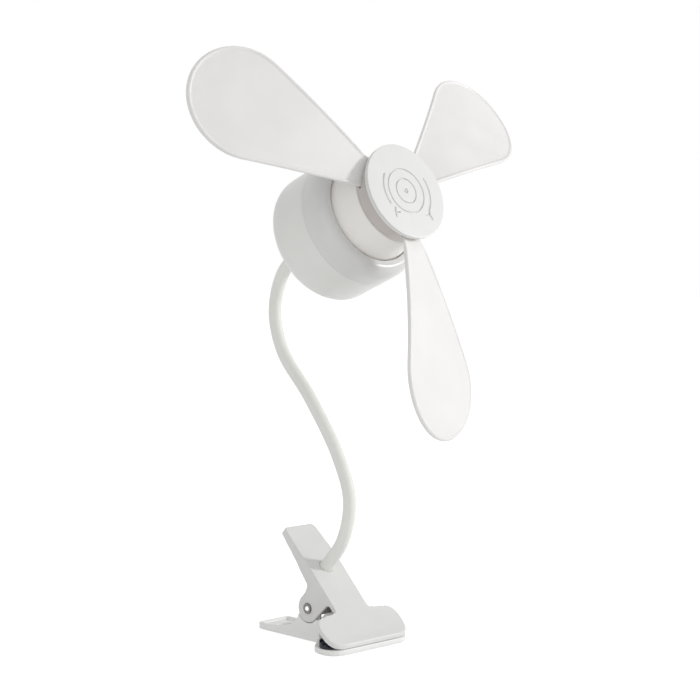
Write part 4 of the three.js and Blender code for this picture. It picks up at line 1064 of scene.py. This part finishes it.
# %% Sweep a round section along a line
sweep_tree, sweep_in, sweep_out = geometry_tree(
    "round section along a line", Radius="Float", Sides="Int", Finish="Material"
)
as_curve = chain(sweep_tree, "GeometryNodeMeshToCurve", sweep_in.outputs["Geometry"])
section = sweep_tree.nodes.new("GeometryNodeCurvePrimitiveCircle")
sweep_tree.links.new(sweep_in.outputs["Sides"], section.inputs["Resolution"])
sweep_tree.links.new(sweep_in.outputs["Radius"], section.inputs["Radius"])
swept = chain(
    sweep_tree,
    "GeometryNodeCurveToMesh",
    as_curve,
    Profile_Curve=section.outputs["Curve"],
    Fill_Caps=True,
)
sweep_painted = chain(
    sweep_tree, "GeometryNodeSetMaterial", swept, Material=sweep_in.outputs["Finish"]
)
sweep_tree.links.new(sweep_painted, sweep_out.inputs[0])


def swept_along(name, points, radius, sides, finish):
    line = bpy.data.meshes.new(name)
    line.from_pydata([p * MM for p in points], [(i, i + 1) for i in range(len(points) - 1)], [])
    piece = new_object(name, line)
    run_tree(piece, sweep_tree, Radius=radius * MM, Sides=sides, Finish=finish)
    shape = bmesh.new()
    shape.from_mesh(piece.data)
    bmesh.ops.remove_doubles(shape, verts=shape.verts, dist=1e-7)
    bmesh.ops.recalc_face_normals(shape, faces=shape.faces)
    shape.to_mesh(piece.data)
    shape.free()
    return piece


print("sweep tree nodes:", len(sweep_tree.nodes))

# %% Three lengths of sleeve
NECK_RADIUS = 3.75
FLARE_HEIGHT = 3  # the sleeve's foot flares out over this height
FLARE_FULL = 1  # and has its full width up to here
FLARE = 0.27
POINTS_PER_PLACE = 24


def sleeve_length(name, start, end, bend, reach, nodes):
    """A length of sleeve between two places of the neck line. Two points round a third place, the
    bend, are worked out and not kept.
    """
    count = int((end - start) * POINTS_PER_PLACE)
    points = [neck_point(start + (end - start) * i / count) for i in range(count + 1)]
    piece = swept_along(name, points, NECK_RADIUS, 40, silicone)
    for vertex in piece.data.vertices:
        above = (vertex.co / MM - ENTRY).dot(-INTO_CLIP)
        if above < FLARE_HEIGHT:
            out = vertex.co / MM - (ENTRY - INTO_CLIP * above)
            share = min(1, (FLARE_HEIGHT - above) / (FLARE_HEIGHT - FLARE_FULL))
            vertex.co += out.normalized() * MM * FLARE * share**2
    put_on(piece, None, "silicone", silicone, *nodes)
    middle = neck_point(bend)
    arm = (neck_point(bend + 0.02) - neck_point(bend - 0.02)).normalized() * reach
    (middle - arm) * MM
    (middle + arm) * MM
    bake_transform(piece)


ENDS = (0.58, 4.15, 5.95, 10.46)  # places on the neck line
SLEEVES = (  # name, bend, reach and the frame's nodes
    ("neck_sleeve_low", 3, 26, ("neck_sleeve_base", "neck_sleeve_lower")),
    ("neck_sleeve_middle", 5, 26, ("neck_sleeve_upper",)),
    ("neck_sleeve_high", 7, 21, ("neck_sleeve_top",)),
)
for i, (name, bend, reach, nodes) in enumerate(SLEEVES):
    sleeve_length(name, ENDS[i], ENDS[i + 1], bend, reach, nodes)

# %% [markdown]
# ## Clip
# The jaws are thick-walled mouldings with eased edges. The frame's solids already have their
# shape, but with hard edges. A copy of each is rebuilt as one even skin of small faces and
# smoothed a little, which rounds every edge by about half a millimetre, as a mould does.


# %% Soft-edged mouldings
def moulded(name, node_name, cell, passes, cutters=()):
    """A copy of a frame node with an even skin and eased edges."""
    piece = new_object(name, frame["nodes"][node_name].data.copy())
    shape = bmesh.new()
    shape.from_mesh(piece.data)
    bmesh.ops.remove_doubles(shape, verts=shape.verts, dist=1e-6)
    shape.to_mesh(piece.data)
    shape.free()
    cut_out(piece, cutters)
    skin_over = piece.modifiers.new("skin", "REMESH")
    skin_over.mode = "VOXEL"
    skin_over.voxel_size = cell * MM
    ease = piece.modifiers.new("ease", "SMOOTH")
    ease.factor = 0.5
    ease.iterations = passes
    return settle(piece)


# %% Small changes of shape
def rise(value, start, span):
    """Goes smoothly from 0 at the start to 1 a span further on."""
    held = min(1.0, max(0.0, (value - start) / span))
    return held * held * (3 - 2 * held)


def drawn_out(piece, wider=0.0, longer=0.0, lower=0.0, laid_back=0.0, wedge=0.0, deeper=0.0):
    """Changes a jaw or a pad smoothly, in millimetres, but for the wedge, which is a share."""
    for vertex in piece.data.vertices:
        x, y, z = vertex.co / MM
        x += math.copysign(wider * rise(abs(x), 12.4, 14), x)
        z += wedge * max(0.0, z - 3) * rise(y, -10, 12) - lower * rise(-y, 4, 8)
        y += longer * rise(y, 40, 26) + laid_back * rise(z, 40, 22) + deeper * rise(y, -6, 12)
        vertex.co = Vector((x, y, z)) * MM


LEVER_END = (45.2, 61.6)  # along Y and up
LEVER_HALF_WIDTH = 11.2
SHEET_END = sum(LEVER_END) / math.sqrt(2)
SHEET_FRAME = Matrix.Rotation(math.radians(45), 4, "X")


def corner_cutter(side, radius):
    """A post with a hollow quarter-round face, for the free corner of the thumb lever."""
    across, along = LEVER_HALF_WIDTH, SHEET_END
    plan = [(across + 2, along + 2), (across + 2, along - radius)]
    for i in range(9):
        t = math.radians(90 * i / 8)
        plan.append((across - radius * (1 - math.cos(t)), along - radius * (1 - math.sin(t))))
    plan.append((across - radius, along + 2))
    post = bmesh.new()
    low, high = [[post.verts.new((side * x, s, n)) for x, s in plan] for n in (-1, 20)]
    post.faces.new(low)
    post.faces.new(high)
    for i in range(len(plan)):
        j = (i + 1) % len(plan)
        post.faces.new([low[i], low[j], high[j], high[i]])
    bmesh.ops.recalc_face_normals(post, faces=post.faces)
    piece = object_from("cutter", post)
    piece.data.transform(Matrix.Scale(MM, 4) @ SHEET_FRAME)
    return piece


# %% Jaws and pads
JAW_SKIN = (0.42, 5)  # size of the small faces in millimetres, and smoothing passes
PAD_SKIN = (0.22, 2)
SMOOTH_ALL_OVER = 180

lower_jaw = moulded("lower_jaw_skin", "lower_jaw", *JAW_SKIN)
drawn_out(lower_jaw, wider=2.0, longer=2.4)
# The lower jaw takes the lighter copy of the clip's white, which is painted light.
put_on(lower_jaw, "clip_lower", "shell_white", clip_bright, "lower_jaw", sharp=SMOOTH_ALL_OVER)

lever_corners = [corner_cutter(1, 3.2), corner_cutter(-1, 1.8)]
upper_jaw = moulded("upper_jaw_skin", "upper_jaw", *JAW_SKIN, lever_corners)
drawn_out(upper_jaw, wider=2.6, lower=0.42, laid_back=2.4)
put_on(upper_jaw, "clip_upper", "shell_white", clip_white, "upper_jaw", sharp=SMOOTH_ALL_OVER)

lower_pad = moulded("lower_pad_skin", "lower_pad", *PAD_SKIN)
drawn_out(lower_pad, wider=3.9, wedge=1.9, deeper=3.4)
put_on(lower_pad, "clip_lower", "pad_rubber", pad_rubber, "lower_pad", sharp=SMOOTH_ALL_OVER)

upper_pad = moulded("upper_pad_skin", "upper_pad", *PAD_SKIN)
put_on(upper_pad, "clip_upper", "pad_rubber", pad_rubber, "upper_pad", sharp=SMOOTH_ALL_OVER)

# %% [markdown]
# ## Rivet and spring
# The jaws turn on a rivet whose two ends are dished and rolled over the ears.
# Between the ears a wire spring winds round it. One leg presses the tail down and the other
# lifts the lever.

# %% Rivet's metal, with a painted highlight in the dish
PIN = Vector((0, 27, 18.1))
DISH_RADIUS = 1.35
DISH_EDGE = 0.15
rivet_steel = finish_with("dished_rivet", worked, (128, 126, 124), 0.3, 0.2, Metallic=1.0)
rivet = rivet_steel.node_tree
# A round mask about the rivet's axis marks the dish, where a highlight is painted.
spot, flat, span = [rivet.nodes.new("ShaderNodeVectorMath") for _ in range(3)]
spot.operation, flat.operation, span.operation = "SUBTRACT", "MULTIPLY", "LENGTH"
spot.inputs[1].default_value = PIN * MM
flat.inputs[1].default_value = (0, 1, 1)
dish_highlight_mask = rivet.nodes.new("ShaderNodeMapRange")
dish_highlight_mask.inputs["From Min"].default_value = (DISH_RADIUS + DISH_EDGE) * MM
dish_highlight_mask.inputs["From Max"].default_value = (DISH_RADIUS - DISH_EDGE) * MM
where = next(n for n in rivet.nodes if n.type == "TEX_COORD")
surface = next(n for n in rivet.nodes if n.type == "GROUP")
rivet.links.new(where.outputs["Object"], spot.inputs[0])
rivet.links.new(spot.outputs[0], flat.inputs[0])
rivet.links.new(flat.outputs[0], span.inputs[0])
rivet.links.new(span.outputs["Value"], dish_highlight_mask.inputs["Value"])
# A near-white colour in the dish: a painted highlight, so that the rivet's centre shines.
dish_highlight_colour = linear(252, 252, 252)
highlighted_colour = mixed(rivet, dish_highlight_mask.outputs["Result"], surface.outputs["Colour"], dish_highlight_colour)
rivet.links.new(highlighted_colour, rivet.nodes["Principled BSDF"].inputs["Base Color"])
print("rivet's nodes:", len(rivet.nodes))

# %% Rivet
pin_half = [
    (0, 12.5, 0), (1.2, 12.5, 0.3), (1.7, 13.1, 0.3),
    (2.8, 13.1, 0.5), (3.2, 12.5, 0.2), (2.4, 12.45, 0.1),
]
pin_profile = eased(pin_half + [(r, -w, e) for r, w, e in reversed(pin_half)], 4)
across_the_clip = Matrix.Rotation(math.radians(90), 4, "Y")
pin_place = Matrix.Translation(PIN * MM) @ across_the_clip @ Matrix.Scale(MM, 4)
pin = turned("hinge_rivet", pin_profile, pin_place, 64)
# The rivet wears the steel with the painted highlight in its dish.
put_on(pin, "clip_lower", "steel", rivet_steel, "hinge_pin")

# %% Spring
SPRING_RADIUS = 4.4
SPRING_PITCH = 1.7
WIRE_RADIUS = 0.55
DOWN_LEG, UP_LEG = 18.2, 30.2
COIL_START, COIL_END = math.radians(22), math.radians(360 * 4 - 8.4)


def on_coil(angle):
    x = (angle - (COIL_START + COIL_END) / 2) * SPRING_PITCH / (2 * math.pi)
    return PIN + Vector((x, SPRING_RADIUS * math.cos(angle), SPRING_RADIUS * math.sin(angle)))


def coil_heading(angle):
    return Vector((0, -math.sin(angle), math.cos(angle)))


foot, top = on_coil(COIL_START), on_coil(COIL_END)
spring_points = [foot - coil_heading(COIL_START) * DOWN_LEG * (1 - i / 6) for i in range(6)]
spring_points += [on_coil(COIL_START + (COIL_END - COIL_START) * i / 144) for i in range(145)]
spring_points += [top + coil_heading(COIL_END) * UP_LEG * i / 8 for i in range(1, 9)]
spring = swept_along("torsion_spring_wire", spring_points, WIRE_RADIUS, 14, steel)
put_on(spring, None, "steel", steel, "torsion_spring")
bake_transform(spring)
